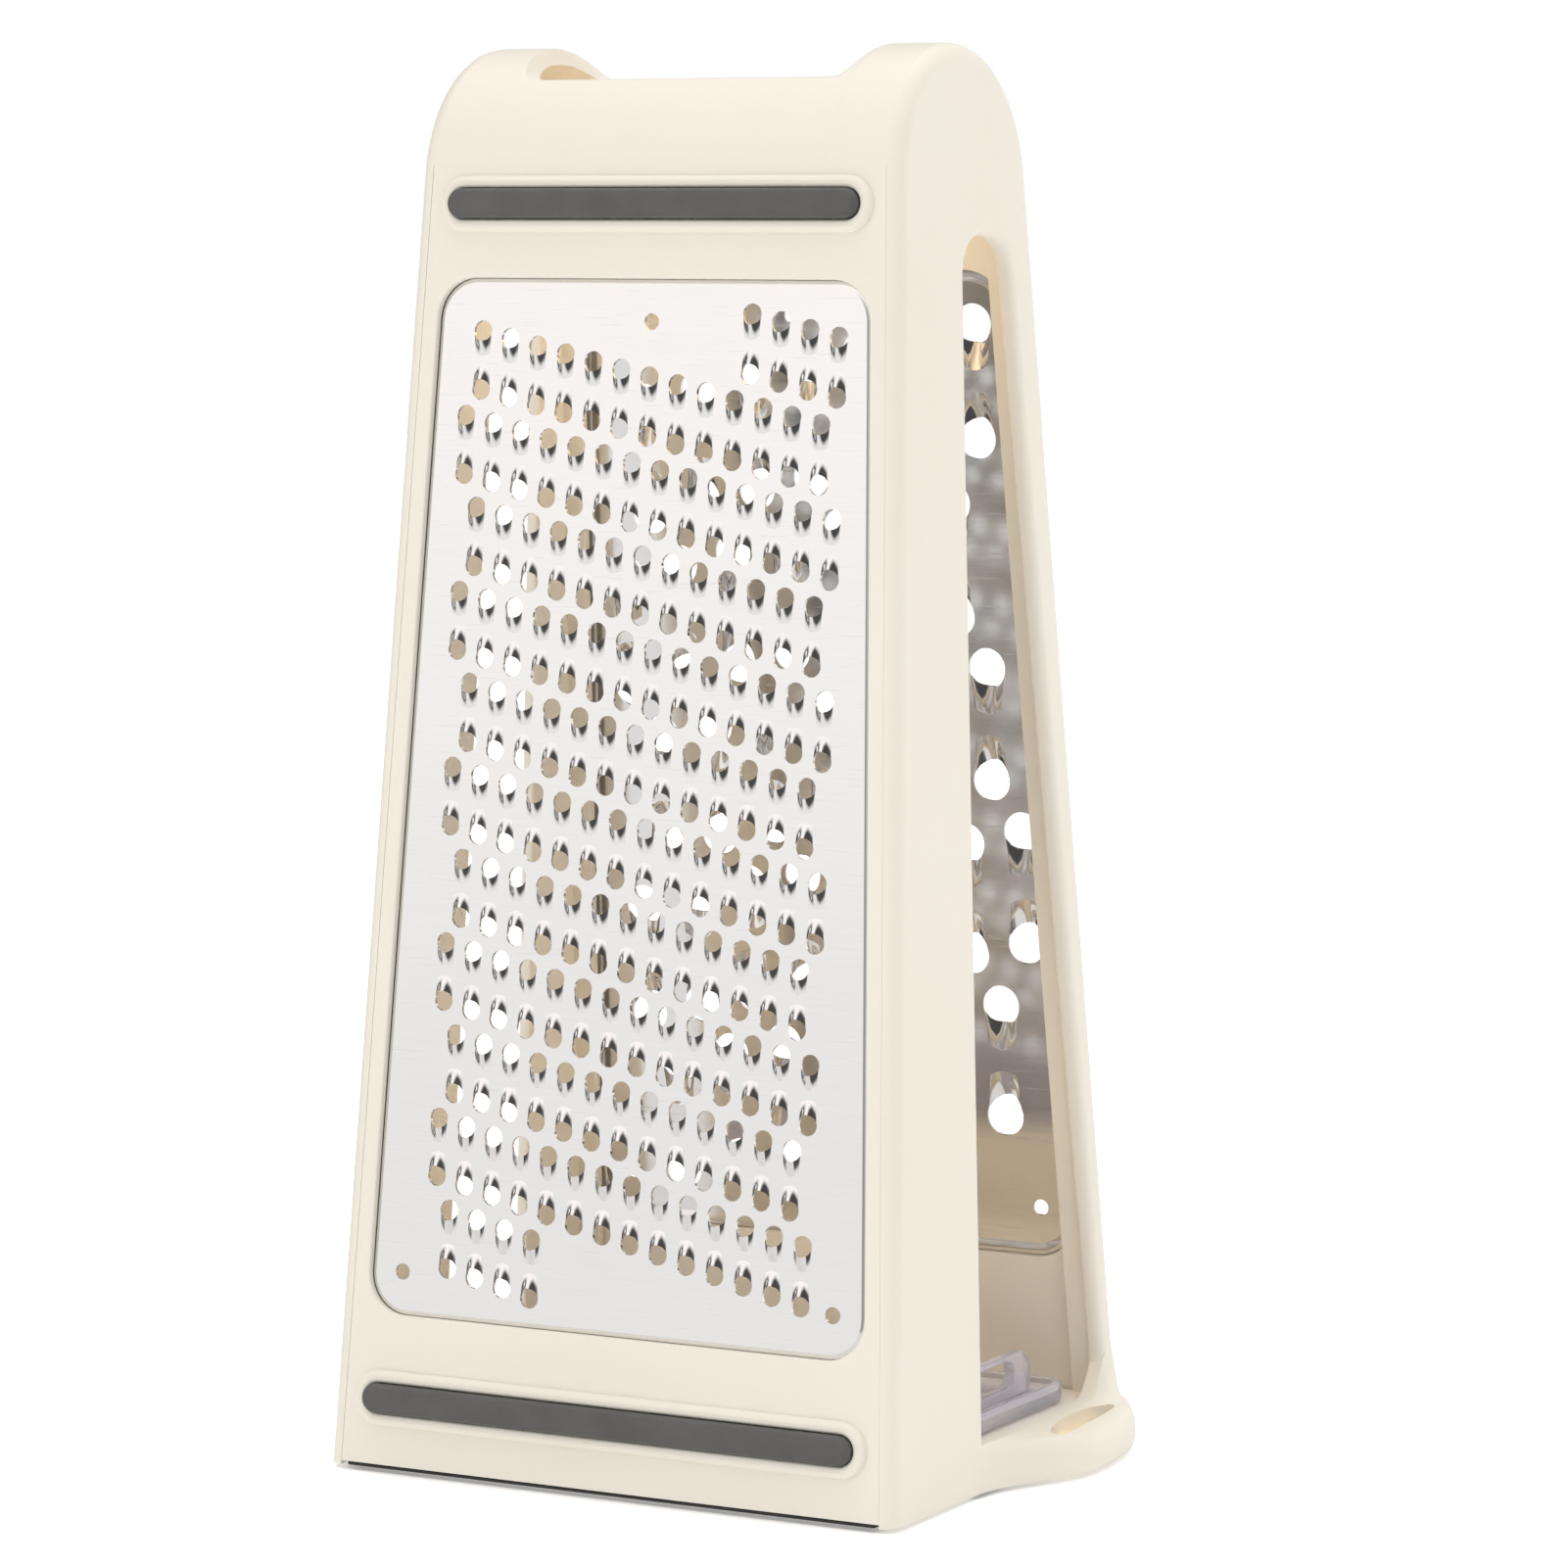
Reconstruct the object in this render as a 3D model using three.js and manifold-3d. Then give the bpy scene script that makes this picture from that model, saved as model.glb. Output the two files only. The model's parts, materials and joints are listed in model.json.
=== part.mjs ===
// A two-sided standing cheese grater: a cream body with an arched top, a fine steel plate in front,
// a coarse steel plate behind, soft grip strips and a clear catch tray that slides out to the right.
// Millimetres, +Z up, the ground at z = 0, the fine plate facing -Y. The pieces are drawn with the body's
// middle at x = 0, and the finished grater is moved so that the middle of its footprint is the origin.

import * as THREE from 'three';
import { mergeGeometries, mergeVertices } from 'three/addons/utils/BufferGeometryUtils.js';
import Module from 'manifold-3d';

const wasm = await Module();
wasm.setup();

// Body
const HEIGHT = 241; // ground to ridge
const BASE_WIDTH = 110; // across the front at the ground
const RIDGE_WIDTH = 91; // across the front at the ridge
const BASE_DEPTH = 85.6; // front face to rear face at the ground
const ARCH_RADIUS = 23; // the rounded top, seen from the side
const WALL = 2.8; // side walls and arch
const FIT_GAP = 0.3; // between pieces that are fitted together
const LEDGE_WIDTH = 4; // inner ledges that the panels rest on
const LEDGE_THICKNESS = 1.6;
const LEDGE_FOOT = 1; // height of the strip that joins a pair of ledges at the floor
const ARCH_STEPS = 20;
const EDGE_STEPS = 4; // of the body's rounded edges

// Hand notch through the ridge
const NOTCH_DEPTH = 5.6;
const NOTCH_LENGTH = 58; // along its bottom
const NOTCH_FLARE = 4; // how much longer it is at the ridge, at each end

// Side openings: the right one is wider, and a band of wall stays between each and the rear face
const SILL_HEIGHT = 8;
const SILL_STEP = 0.3; // floor and lip lie this much below the sill
const FLOOR_THICKNESS = 2.4;
const OPENING_DROP = 32; // from the ridge to the top of the openings
const OPENING_FRONT_BOTTOM = -9.7; // y of the front edge at the sill
const OPENING_FRONT_TOP = -1.3; // y of the front edge at the top
const OPENING_CORNER = 7;
const RIGHT_BAND = { bottom: 5.6, top: 9.5 };
const LEFT_BAND = { bottom: 25, top: 11 };

// Lip at the foot of the right wall, with its half-moon slot
const LIP_REACH = 10; // how far it stands out from the wall
const LIP_FRONT_LENGTH = 26.5; // from its front end to its crest
const LIP_REAR_LENGTH = 27.3; // from its crest to its rear end
const LIP_END = 1; // rear end, in from the rear edge of the wall
const LIP_SKIN = 2.5;
const LIP_STEPS = 24;
const SLOT_STEPS = 12;
const SLOT_LENGTH = 24.4;
const SLOT_WIDTH = 5; // at its middle
const SLOT_SETBACK = 5.4; // its middle, behind the lip's crest
const SLOT_FRONT_REACH = 6.2; // straight side, out from the wall at its front end
const SLOT_REAR_REACH = 3.8; // the same at its rear end

// Front and rear panels
const PANEL_THICKNESS = 3;
const PANEL_LIFT = 1.1; // bottom edge above the ground
const SEAM_RISE = 1.2; // top edge above the start of the arch
const SIDE_BAND = 3; // panel beside the plate
const TOP_BAND = 18.8; // panel above the plate
const BOTTOM_BAND = 25.4; // panel below the fine plate
const REAR_BAND_EXTRA = 6; // how much higher the coarse plate starts
const WINDOW_CORNER = 7;

// Grip strips and the beads round them
const GRIP_HEIGHT = 5.3;
const GRIP_INSET = 4.4; // from the panel's side edge
const UPPER_GRIP_DROP = 6.4; // from the panel's top edge
const LOWER_GRIP_RISE = 11.1; // from the panel's bottom edge
const GRIP_PROUD = 2.6;
const GROOVE_DEPTH = 1.2;
const BEAD_WIDTH = 2.1;
const BEAD_PROUD = 1.2;
const BEAD_EDGE = 0.7;

// Grating plates, held by their edges in a groove of the panel
const PLATE_THICKNESS = 0.6;
const PLATE_RECESS = 0.8; // below the panel's face
const PLATE_OVERLAP = 2; // how far an edge goes into its groove
const PLATE_PLAY = 0.2;
const FIELD_WIDTH = 72; // band of teeth
const FIELD_MARGIN = 2.75; // above and below the teeth
const ROW_TILT = 0.224; // drop of a row for each millimetre across
const PILOT_DIAMETER = 2.8;
const PILOT_TOP_DROP = 7.1;
const PILOT_BOTTOM_RISE = 7.4;
const PILOT_SIDE_INSET = 6.2;
const PILOT_SIDES = 8;
const PILOT_CLEARANCE = 1; // steel left between a pilot hole and the nearest tooth

// Teeth of the fine plate; the coarse plate has the same pattern, enlarged
const TOOTH_PITCH = 5.47; // along a row
const ROW_GAP = 14.9; // from row to row
const PAIR_GAP = 9.9; // between the two holes of a pair
const HOLE_DIAMETER = 3.5;
const TOOTH_TAIL = 4.1; // from the hole's middle to the end of the hood behind it
const TOOTH_RISE = 1; // cutting edge above the plate
const TOOTH_SPREAD = 0.8; // hood's width as a share of the hole's
const COARSE_SCALE = 2;
const COARSE_FIELD_WIDTH = 82;
const FIELD_EDGE = 0.5; // steel left between a hole and the window's side
const COARSE_SHIFT_X = -2.4; // of the coarse pattern, from the middle of the fine plate
const COARSE_SHIFT_S = -12.2;
const FINE_SIDES = 5; // sides of a hole
const COARSE_SIDES = 7;

// Foot strips under the panels
const FOOT_HEIGHT = 0.8;
const FOOT_PROUD = -0.3; // set back a little from the panel's face
const FOOT_INSET = 1; // from the panel's side edge

// Catch tray
const TRAY_LIFT = 0.3; // running clearance above the floor
const TRAY_FLOOR = 1.5;
const TRAY_RIM = 1.9; // rim above the tray's floor
const TRAY_WALL = 1.5;
const TRAY_SIDE_PLAY = 1; // to the opening's front edge
const TRAY_END_PLAY = 0.6; // to the side walls
const TRAY_CORNER = 4;
const TAB_THICKNESS = 2;
const TAB_SETBACK = 5; // from the tray's right end
const TAB_WIDTH = 28;
const TAB_HEIGHT = 7.8; // above the tray's floor
const TAB_CORNER = 4;
const FINGER_HOLE_LENGTH = 15;
const FINGER_HOLE_HEIGHT = 4.6;
const FINGER_HOLE_DROP = 3.4; // its middle, below the tab's top edge

const COLOURS = {
  cream: { color: 0xebe4d8, roughness: 0.5, metalness: 0 },
  steel: { color: 0xd8d8d6, roughness: 0.28, metalness: 1 },
  grip: { color: 0x62636a, roughness: 0.75, metalness: 0 },
  foot: { color: 0x343537, roughness: 0.85, metalness: 0 },
  clear: { color: 0xdfdff0, roughness: 0.12, metalness: 0 },
};

// Values that follow from the sizes above
const ARCH_CENTRE = HEIGHT - ARCH_RADIUS;
const OPENING_TOP = HEIGHT - OPENING_DROP;
const TAPER = (BASE_WIDTH - RIDGE_WIDTH) / 2 / HEIGHT;
const REACH = Math.hypot(BASE_DEPTH / 2, ARCH_CENTRE);
const LEAN = Math.acos(ARCH_RADIUS / REACH) - Math.atan2(ARCH_CENTRE, BASE_DEPTH / 2);
const TANGENT_HEIGHT = ARCH_CENTRE + ARCH_RADIUS * Math.sin(LEAN);
const SEAM_TOP = TANGENT_HEIGHT / Math.cos(LEAN) + SEAM_RISE;
const PANEL_TOP = SEAM_TOP - FIT_GAP;
const WINDOW_TOP = PANEL_TOP - TOP_BAND;
const WINDOW_BOTTOM = PANEL_LIFT + BOTTOM_BAND;
const PLATE_CENTRE = (WINDOW_TOP + WINDOW_BOTTOM) / 2;
const toothKind = (scale, field) => ({
  pitch: TOOTH_PITCH * scale,
  rowGap: ROW_GAP * scale,
  pairGap: PAIR_GAP * scale,
  hole: HOLE_DIAMETER * scale,
  tail: TOOTH_TAIL * scale,
  rise: TOOTH_RISE * scale,
  ...field,
});
const FINE_KIND = toothKind(1, {
  sides: FINE_SIDES,
  bottom: WINDOW_BOTTOM,
  width: FIELD_WIDTH,
  shift: new THREE.Vector2(0, 0),
});
const COARSE_KIND = toothKind(COARSE_SCALE, {
  sides: COARSE_SIDES,
  bottom: WINDOW_BOTTOM + REAR_BAND_EXTRA,
  width: COARSE_FIELD_WIDTH,
  shift: new THREE.Vector2(COARSE_SHIFT_X, COARSE_SHIFT_S),
});

const halfWidthAt = (z) => BASE_WIDTH / 2 - TAPER * z;
const halfDepthAt = (z) => BASE_DEPTH / 2 - z * Math.tan(LEAN);
const innerHalfWidth = (s) => halfWidthAt(s * Math.cos(LEAN)) - WALL;
const windowHalfWidth = (s) => innerHalfWidth(s) + FIT_GAP;
const FLOOR_TOP = SILL_HEIGHT - SILL_STEP;
const LIP_CREST = halfDepthAt(SILL_HEIGHT) - LIP_END - LIP_REAR_LENGTH;

// Solids: three.js geometry in and out of the boolean library

function solid(geometry) {
  const bare = geometry.clone();
  bare.deleteAttribute('normal');
  bare.deleteAttribute('uv');
  const welded = mergeVertices(bare, 1e-4);
  const mesh = new wasm.Mesh({
    numProp: 3,
    vertProperties: new Float32Array(welded.attributes.position.array),
    triVerts: new Uint32Array(welded.index.array),
  });
  return new wasm.Manifold(mesh);
}

function geometryOf(manifold) {
  const mesh = manifold.getMesh();
  const geometry = new THREE.BufferGeometry();
  geometry.setAttribute('position', new THREE.BufferAttribute(mesh.vertProperties, 3));
  geometry.setIndex(new THREE.BufferAttribute(mesh.triVerts, 1));
  const flat = geometry.toNonIndexed();
  flat.computeVertexNormals();
  return flat;
}

// Shapes and prisms

// A closed outline whose corners are rounded by arcs of one radius.
function roundedShape(corners, radius) {
  const shape = new THREE.Shape();
  corners.forEach((corner, i) => {
    const before = corners.at(i - 1).clone().sub(corner).normalize();
    const after = corners[(i + 1) % corners.length].clone().sub(corner).normalize();
    const half = Math.acos(before.dot(after)) / 2;
    const bisector = before.clone().add(after).normalize();
    const centre = corner.clone().addScaledVector(bisector, radius / Math.sin(half));
    const start = corner.clone().addScaledVector(before, radius / Math.tan(half)).sub(centre);
    const end = corner.clone().addScaledVector(after, radius / Math.tan(half)).sub(centre);
    const clockwise = start.cross(end) < 0;
    shape.absarc(centre.x, centre.y, radius, start.angle(), end.angle(), clockwise);
  });
  shape.closePath();
  return shape;
}

function box2(x0, y0, x1, y1) {
  return [[x0, y0], [x1, y0], [x1, y1], [x0, y1]].map(([x, y]) => new THREE.Vector2(x, y));
}

function obround(length, height, x = 0, y = 0) {
  const shape = new THREE.Shape();
  const radius = height / 2;
  const reach = length / 2 - radius;
  shape.absarc(x + reach, y, radius, -Math.PI / 2, Math.PI / 2, false);
  shape.absarc(x - reach, y, radius, Math.PI / 2, Math.PI * 1.5, false);
  shape.closePath();
  return shape;
}

// A prism from z = bottom to z = top, its edges rounded by `edge` without growing the outline.
function prism(shape, bottom, top, edge = 0, curveSegments = 6, bevelSegments = 2) {
  const geometry = new THREE.ExtrudeGeometry(shape, {
    depth: top - bottom - 2 * edge,
    bevelEnabled: edge > 0,
    bevelSize: edge,
    bevelThickness: edge,
    bevelOffset: -edge,
    bevelSegments,
    curveSegments,
  });
  return geometry.translate(0, 0, bottom + edge);
}

const axes = (x, y, z) => new THREE.Matrix4().makeBasis(
  new THREE.Vector3(...x),
  new THREE.Vector3(...y),
  new THREE.Vector3(...z),
);
const ALONG_X = axes([0, 1, 0], [0, 0, 1], [1, 0, 0]); // outlines drawn in y and z
const ALONG_Y = axes([1, 0, 0], [0, 0, 1], [0, -1, 0]); // outlines drawn in x and z

// The plane of a face: x across, s up the slope from the ground, n outwards.
const FRONT_FACE = new THREE.Matrix4().makeRotationX(Math.PI / 2 - LEAN).setPosition(0, -BASE_DEPTH / 2, 0);
const REAR_FACE = new THREE.Matrix4().makeRotationZ(Math.PI).multiply(FRONT_FACE);
const FACES = [FRONT_FACE, REAR_FACE];

// A trapezoid that follows the side walls, `inset` inside the given half-width.
function faceOutline(halfWidth, bottom, top, inset = 0) {
  const low = halfWidth(bottom) - inset;
  const high = halfWidth(top) - inset;
  return [[-low, bottom], [low, bottom], [high, top], [-high, top]].map(([x, s]) => new THREE.Vector2(x, s));
}

// Body

// The side view, `inset` inside the outer skin and running down to z = bottom.
function sideProfile(inset, bottom) {
  const shape = new THREE.Shape();
  const foot = halfDepthAt(bottom) - inset / Math.cos(LEAN);
  shape.absarc(0, ARCH_CENTRE, ARCH_RADIUS - inset, LEAN, Math.PI - LEAN, false);
  shape.lineTo(-foot, bottom);
  shape.lineTo(foot, bottom);
  shape.closePath();
  return shape;
}

// The side view drawn out across x, narrowing towards the ridge.
function bodySolid(inset, bottom, edge) {
  const reach = BASE_WIDTH / 2 - inset;
  const drawn = prism(sideProfile(inset, bottom), -reach, reach, edge, ARCH_STEPS, EDGE_STEPS);
  const geometry = drawn.applyMatrix4(ALONG_X);
  const place = geometry.attributes.position;
  for (let i = 0; i < place.count; i += 1) {
    const x = place.getX(i);
    place.setX(i, x - Math.sign(x) * TAPER * place.getZ(i));
  }
  return solid(geometry);
}

function panelWindow(face) {
  const outline = new THREE.Shape(faceOutline(windowHalfWidth, -WALL * 3, SEAM_TOP));
  return solid(prism(outline, -WALL - 1, WALL).applyMatrix4(face));
}

// Ledges behind a panel: one down each side wall and one hanging from the arch.
function panelLedges(face) {
  const front = -PANEL_THICKNESS - FIT_GAP;
  const back = front - LEDGE_THICKNESS;
  const top = SEAM_TOP + WALL;
  const foot = FLOOR_TOP - FLOOR_THICKNESS;
  const frame = new THREE.Shape(faceOutline(innerHalfWidth, foot, top, -WALL / 2));
  const inside = faceOutline(innerHalfWidth, foot + LEDGE_FOOT, SEAM_TOP - LEDGE_WIDTH, LEDGE_WIDTH);
  frame.holes.push(new THREE.Path(inside));
  const hanger = new THREE.Shape(faceOutline(innerHalfWidth, SEAM_TOP + FIT_GAP, top, -WALL / 2));
  const ring = solid(prism(frame, back, front).applyMatrix4(face));
  return ring.add(solid(prism(hanger, back + FIT_GAP, -WALL / 2).applyMatrix4(face)));
}

function bodyFloor() {
  const reach = halfWidthAt(SILL_HEIGHT) - WALL / 2;
  const depth = halfDepthAt(SILL_HEIGHT) - PANEL_THICKNESS / Math.cos(LEAN) - FIT_GAP;
  const outline = new THREE.Shape(box2(-reach, -depth, reach, depth));
  return solid(prism(outline, FLOOR_TOP - FLOOR_THICKNESS, FLOOR_TOP));
}

function sideOpening(side, band) {
  const corners = [
    [OPENING_FRONT_BOTTOM, SILL_HEIGHT],
    [halfDepthAt(SILL_HEIGHT) - band.bottom, SILL_HEIGHT],
    [halfDepthAt(OPENING_TOP) - band.top, OPENING_TOP],
    [OPENING_FRONT_TOP, OPENING_TOP],
  ].map(([y, z]) => new THREE.Vector2(y, z));
  const inside = halfWidthAt(OPENING_TOP) - 3 * WALL;
  const depth = BASE_WIDTH - inside;
  const middle = (side * (BASE_WIDTH + inside)) / 2;
  const outline = roundedShape(corners, OPENING_CORNER);
  const hole = prism(outline, middle - depth / 2, middle + depth / 2).applyMatrix4(ALONG_X);
  // The front corner at the sill is left square.
  const square = new THREE.BoxGeometry(depth, OPENING_CORNER, OPENING_CORNER);
  const offset = OPENING_CORNER / 2;
  square.translate(middle, OPENING_FRONT_BOTTOM + offset, SILL_HEIGHT + offset);
  return solid(hole).add(solid(square));
}

// The lip's outline seen from above: it swells gently out of the wall towards its crest, and turns back
// in a quarter of an ellipse. It is drawn in by `inset` and closed by a straight line at x = root.
function lipOutline(inset, root) {
  const points = [];
  for (let i = 0; i <= LIP_STEPS; i += 1) {
    const share = (2 * i) / LIP_STEPS - 1;
    const turn = (Math.PI / 2) * share;
    const swell = share < 0 ? THREE.MathUtils.smoothstep(share, -1, 0) : Math.cos(turn);
    const along = share < 0 ? (LIP_FRONT_LENGTH - inset) * share : (LIP_REAR_LENGTH - inset) * Math.sin(turn);
    const x = BASE_WIDTH / 2 + (LIP_REACH - inset) * swell;
    if (x > root + FIT_GAP) points.push(new THREE.Vector2(x, LIP_CREST + along));
  }
  points.push(new THREE.Vector2(root, points.at(-1).y));
  points.push(new THREE.Vector2(root, points[0].y));
  return new THREE.Shape(points);
}

// A half-moon slot through the lip's top, rounded towards the wall.
function lipSlot() {
  const middle = LIP_CREST + SLOT_SETBACK;
  const front = new THREE.Vector2(BASE_WIDTH / 2 + SLOT_FRONT_REACH, middle - SLOT_LENGTH / 2);
  const rear = new THREE.Vector2(BASE_WIDTH / 2 + SLOT_REAR_REACH, middle + SLOT_LENGTH / 2);
  const shape = new THREE.Shape();
  shape.moveTo(front.x, front.y);
  shape.lineTo(rear.x, rear.y);
  const pull = SLOT_WIDTH / 0.75; // a curve with equal handles bulges three quarters of their length
  shape.bezierCurveTo(rear.x - pull, rear.y, front.x - pull, front.y, front.x, front.y);
  return solid(prism(shape, -1, SILL_HEIGHT + 1, 0, SLOT_STEPS));
}

function footLip() {
  const whole = solid(prism(lipOutline(0, BASE_WIDTH / 2 - WALL / 2), -WALL, FLOOR_TOP));
  const hollow = solid(prism(lipOutline(LIP_SKIN, BASE_WIDTH / 2), -2 * WALL, FLOOR_TOP - LIP_SKIN));
  return whole.subtract(hollow).subtract(lipSlot());
}

function handNotch() {
  const bottom = HEIGHT - NOTCH_DEPTH;
  const top = HEIGHT + NOTCH_DEPTH;
  const low = NOTCH_LENGTH / 2;
  const high = low + 2 * NOTCH_FLARE;
  const middle = low + NOTCH_FLARE;
  const shape = new THREE.Shape();
  shape.moveTo(-high, top);
  shape.bezierCurveTo(-middle, top, -middle, bottom, -low, bottom);
  shape.lineTo(low, bottom);
  shape.bezierCurveTo(middle, bottom, middle, top, high, top);
  return solid(prism(shape, -BASE_DEPTH, BASE_DEPTH).applyMatrix4(ALONG_Y));
}

function belowGround() {
  const block = new THREE.BoxGeometry(BASE_WIDTH * 2, BASE_DEPTH * 2, HEIGHT / 2);
  return solid(block.translate(0, 0, -HEIGHT / 4));
}

function bodyShell() {
  const deep = -3 * WALL;
  let body = bodySolid(0, deep, WALL).subtract(bodySolid(WALL, 2 * deep, 0)).add(footLip());
  for (const face of FACES) body = body.subtract(panelWindow(face)).add(panelLedges(face));
  body = body.add(bodyFloor());
  body = body.subtract(sideOpening(1, RIGHT_BAND)).subtract(sideOpening(-1, LEFT_BAND));
  return body.subtract(handNotch()).subtract(belowGround());
}

// Panels, plates and strips, each drawn in the plane of its face

const GRIP_PLACES = { upper: PANEL_TOP - UPPER_GRIP_DROP, lower: PANEL_LIFT + LOWER_GRIP_RISE };
const gripLength = (s) => 2 * (innerHalfWidth(s) - GRIP_INSET);

function plateOutline(bottom, grow) {
  const inset = SIDE_BAND - grow;
  const corners = faceOutline(innerHalfWidth, bottom - grow, WINDOW_TOP + grow, inset);
  return roundedShape(corners, WINDOW_CORNER + grow);
}

function facePanel(bottom) {
  const outline = new THREE.Shape(faceOutline(innerHalfWidth, PANEL_LIFT, PANEL_TOP));
  outline.holes.push(plateOutline(bottom, 0));
  let panel = solid(prism(outline, -PANEL_THICKNESS, 0));
  for (const s of Object.values(GRIP_PLACES)) {
    const length = gripLength(s);
    const bead = obround(length + 2 * BEAD_WIDTH, GRIP_HEIGHT + 2 * BEAD_WIDTH, 0, s);
    const groove = obround(length, GRIP_HEIGHT, 0, s);
    panel = panel.add(solid(prism(bead, -BEAD_PROUD, BEAD_PROUD, BEAD_EDGE)));
    panel = panel.subtract(solid(prism(groove, -GROOVE_DEPTH, BEAD_PROUD + 1)));
  }
  const top = -PLATE_RECESS + PLATE_PLAY;
  const slot = plateOutline(bottom, PLATE_OVERLAP + PLATE_PLAY);
  return panel.subtract(solid(prism(slot, top - PLATE_THICKNESS - 2 * PLATE_PLAY, top)));
}

function pilotPlaces(bottom) {
  const low = bottom + PILOT_BOTTOM_RISE;
  const side = innerHalfWidth(low) - SIDE_BAND - PILOT_SIDE_INSET;
  const top = new THREE.Vector2(0, WINDOW_TOP - PILOT_TOP_DROP);
  return [top, new THREE.Vector2(-side, low), new THREE.Vector2(side, low)];
}

// Where the pairs of teeth stand: sloping staggered rows, kept clear of the plate's ends and pilot holes.
function toothPairs({ pitch, rowGap, pairGap, hole, bottom, width, shift }) {
  const pairs = [];
  const pilots = pilotPlaces(bottom);
  const apart = (hole + PILOT_DIAMETER) / 2 + PILOT_CLEARANCE;
  const reach = (pairGap + hole) / 2 + FIELD_MARGIN;
  const rows = Math.ceil((WINDOW_TOP - WINDOW_BOTTOM) / rowGap);
  const columns = Math.floor(width / 2 / pitch);
  for (let row = -rows; row < rows; row += 1) {
    const stagger = row % 2 === 0 ? 0 : 0.5;
    for (let column = -columns - 1; column <= columns; column += 1) {
      const x = shift.x + (column + stagger) * pitch;
      const s = PLATE_CENTRE + shift.y + (row + 0.5) * rowGap - ROW_TILT * x;
      const fits = s + reach <= WINDOW_TOP && s - reach >= bottom;
      const ends = [s + pairGap / 2, s - pairGap / 2].map((end) => new THREE.Vector2(x, end));
      const clear = pilots.every((pilot) => ends.every((end) => end.distanceTo(pilot) >= apart));
      const beside = innerHalfWidth(s + pairGap / 2) - SIDE_BAND - hole / 2 - FIELD_EDGE;
      if (fits && clear && Math.abs(x) <= Math.min(width / 2, beside)) pairs.push({ x, s });
    }
  }
  return pairs;
}

// A hole with straight sides, one of which faces down the slope, or up it where `way` is -1.
function roundHole(x, s, diameter, sides, way = 1) {
  const path = new THREE.Path();
  const radius = diameter / 2;
  for (let i = 0; i < sides; i += 1) {
    const turn = ((i + 0.5) * 2 * Math.PI) / sides - Math.PI / 2;
    const point = [x + radius * Math.cos(turn), s + way * radius * Math.sin(turn)];
    if (i === 0) path.moveTo(...point);
    else path.lineTo(...point);
  }
  path.closePath();
  return path;
}

// A tooth: a small hood behind its hole, highest at the cutting edge. `way` is +1 where it cuts upwards.
function tooth(x, s, way, { hole, tail, rise }) {
  const edge = s - way * (hole / 2);
  const half = (hole / 2) * TOOTH_SPREAD;
  const root = -PLATE_RECESS - PLATE_THICKNESS / 2;
  const tip = rise - PLATE_RECESS;
  const corners = [[x - half, edge, root], [x + half, edge, root], [x, s - way * tail, root], [x, edge, tip]];
  const faces = way > 0 ? [0, 1, 2, 0, 3, 1, 1, 3, 2, 2, 3, 0] : [0, 2, 1, 0, 1, 3, 1, 2, 3, 2, 0, 3];
  const geometry = new THREE.BufferGeometry();
  geometry.setAttribute('position', new THREE.Float32BufferAttribute(corners.flat(), 3));
  geometry.setIndex(faces);
  return geometry;
}

function gratingPlate(kind) {
  const outline = plateOutline(kind.bottom, PLATE_OVERLAP);
  const teeth = [];
  for (const { x, s } of toothPairs(kind)) {
    for (const way of [1, -1]) {
      const centre = s + (way * kind.pairGap) / 2;
      outline.holes.push(roundHole(x, centre, kind.hole, kind.sides, way));
      teeth.push(tooth(x, centre, way, kind));
    }
  }
  for (const pilot of pilotPlaces(kind.bottom)) {
    outline.holes.push(roundHole(pilot.x, pilot.y, PILOT_DIAMETER, PILOT_SIDES));
  }
  const sheet = solid(prism(outline, -PLATE_RECESS - PLATE_THICKNESS, -PLATE_RECESS));
  return sheet.add(solid(mergeGeometries(teeth)));
}

function gripStrip(s) {
  const outline = obround(gripLength(s) - 2 * FIT_GAP, GRIP_HEIGHT - 2 * FIT_GAP, 0, s);
  return solid(prism(outline, FIT_GAP - GROOVE_DEPTH, GRIP_PROUD, BEAD_EDGE));
}

// A foot strip lies flat on the ground below its panel's edge.
function footStrip() {
  const length = 2 * (innerHalfWidth(PANEL_LIFT) - FOOT_INSET);
  const depth = PANEL_THICKNESS + FOOT_PROUD;
  const block = new THREE.BoxGeometry(length, depth, FOOT_HEIGHT);
  return block.translate(0, PANEL_THICKNESS / 2 - FOOT_PROUD / 2 - BASE_DEPTH / 2, FOOT_HEIGHT / 2);
}

// Catch tray

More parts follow.
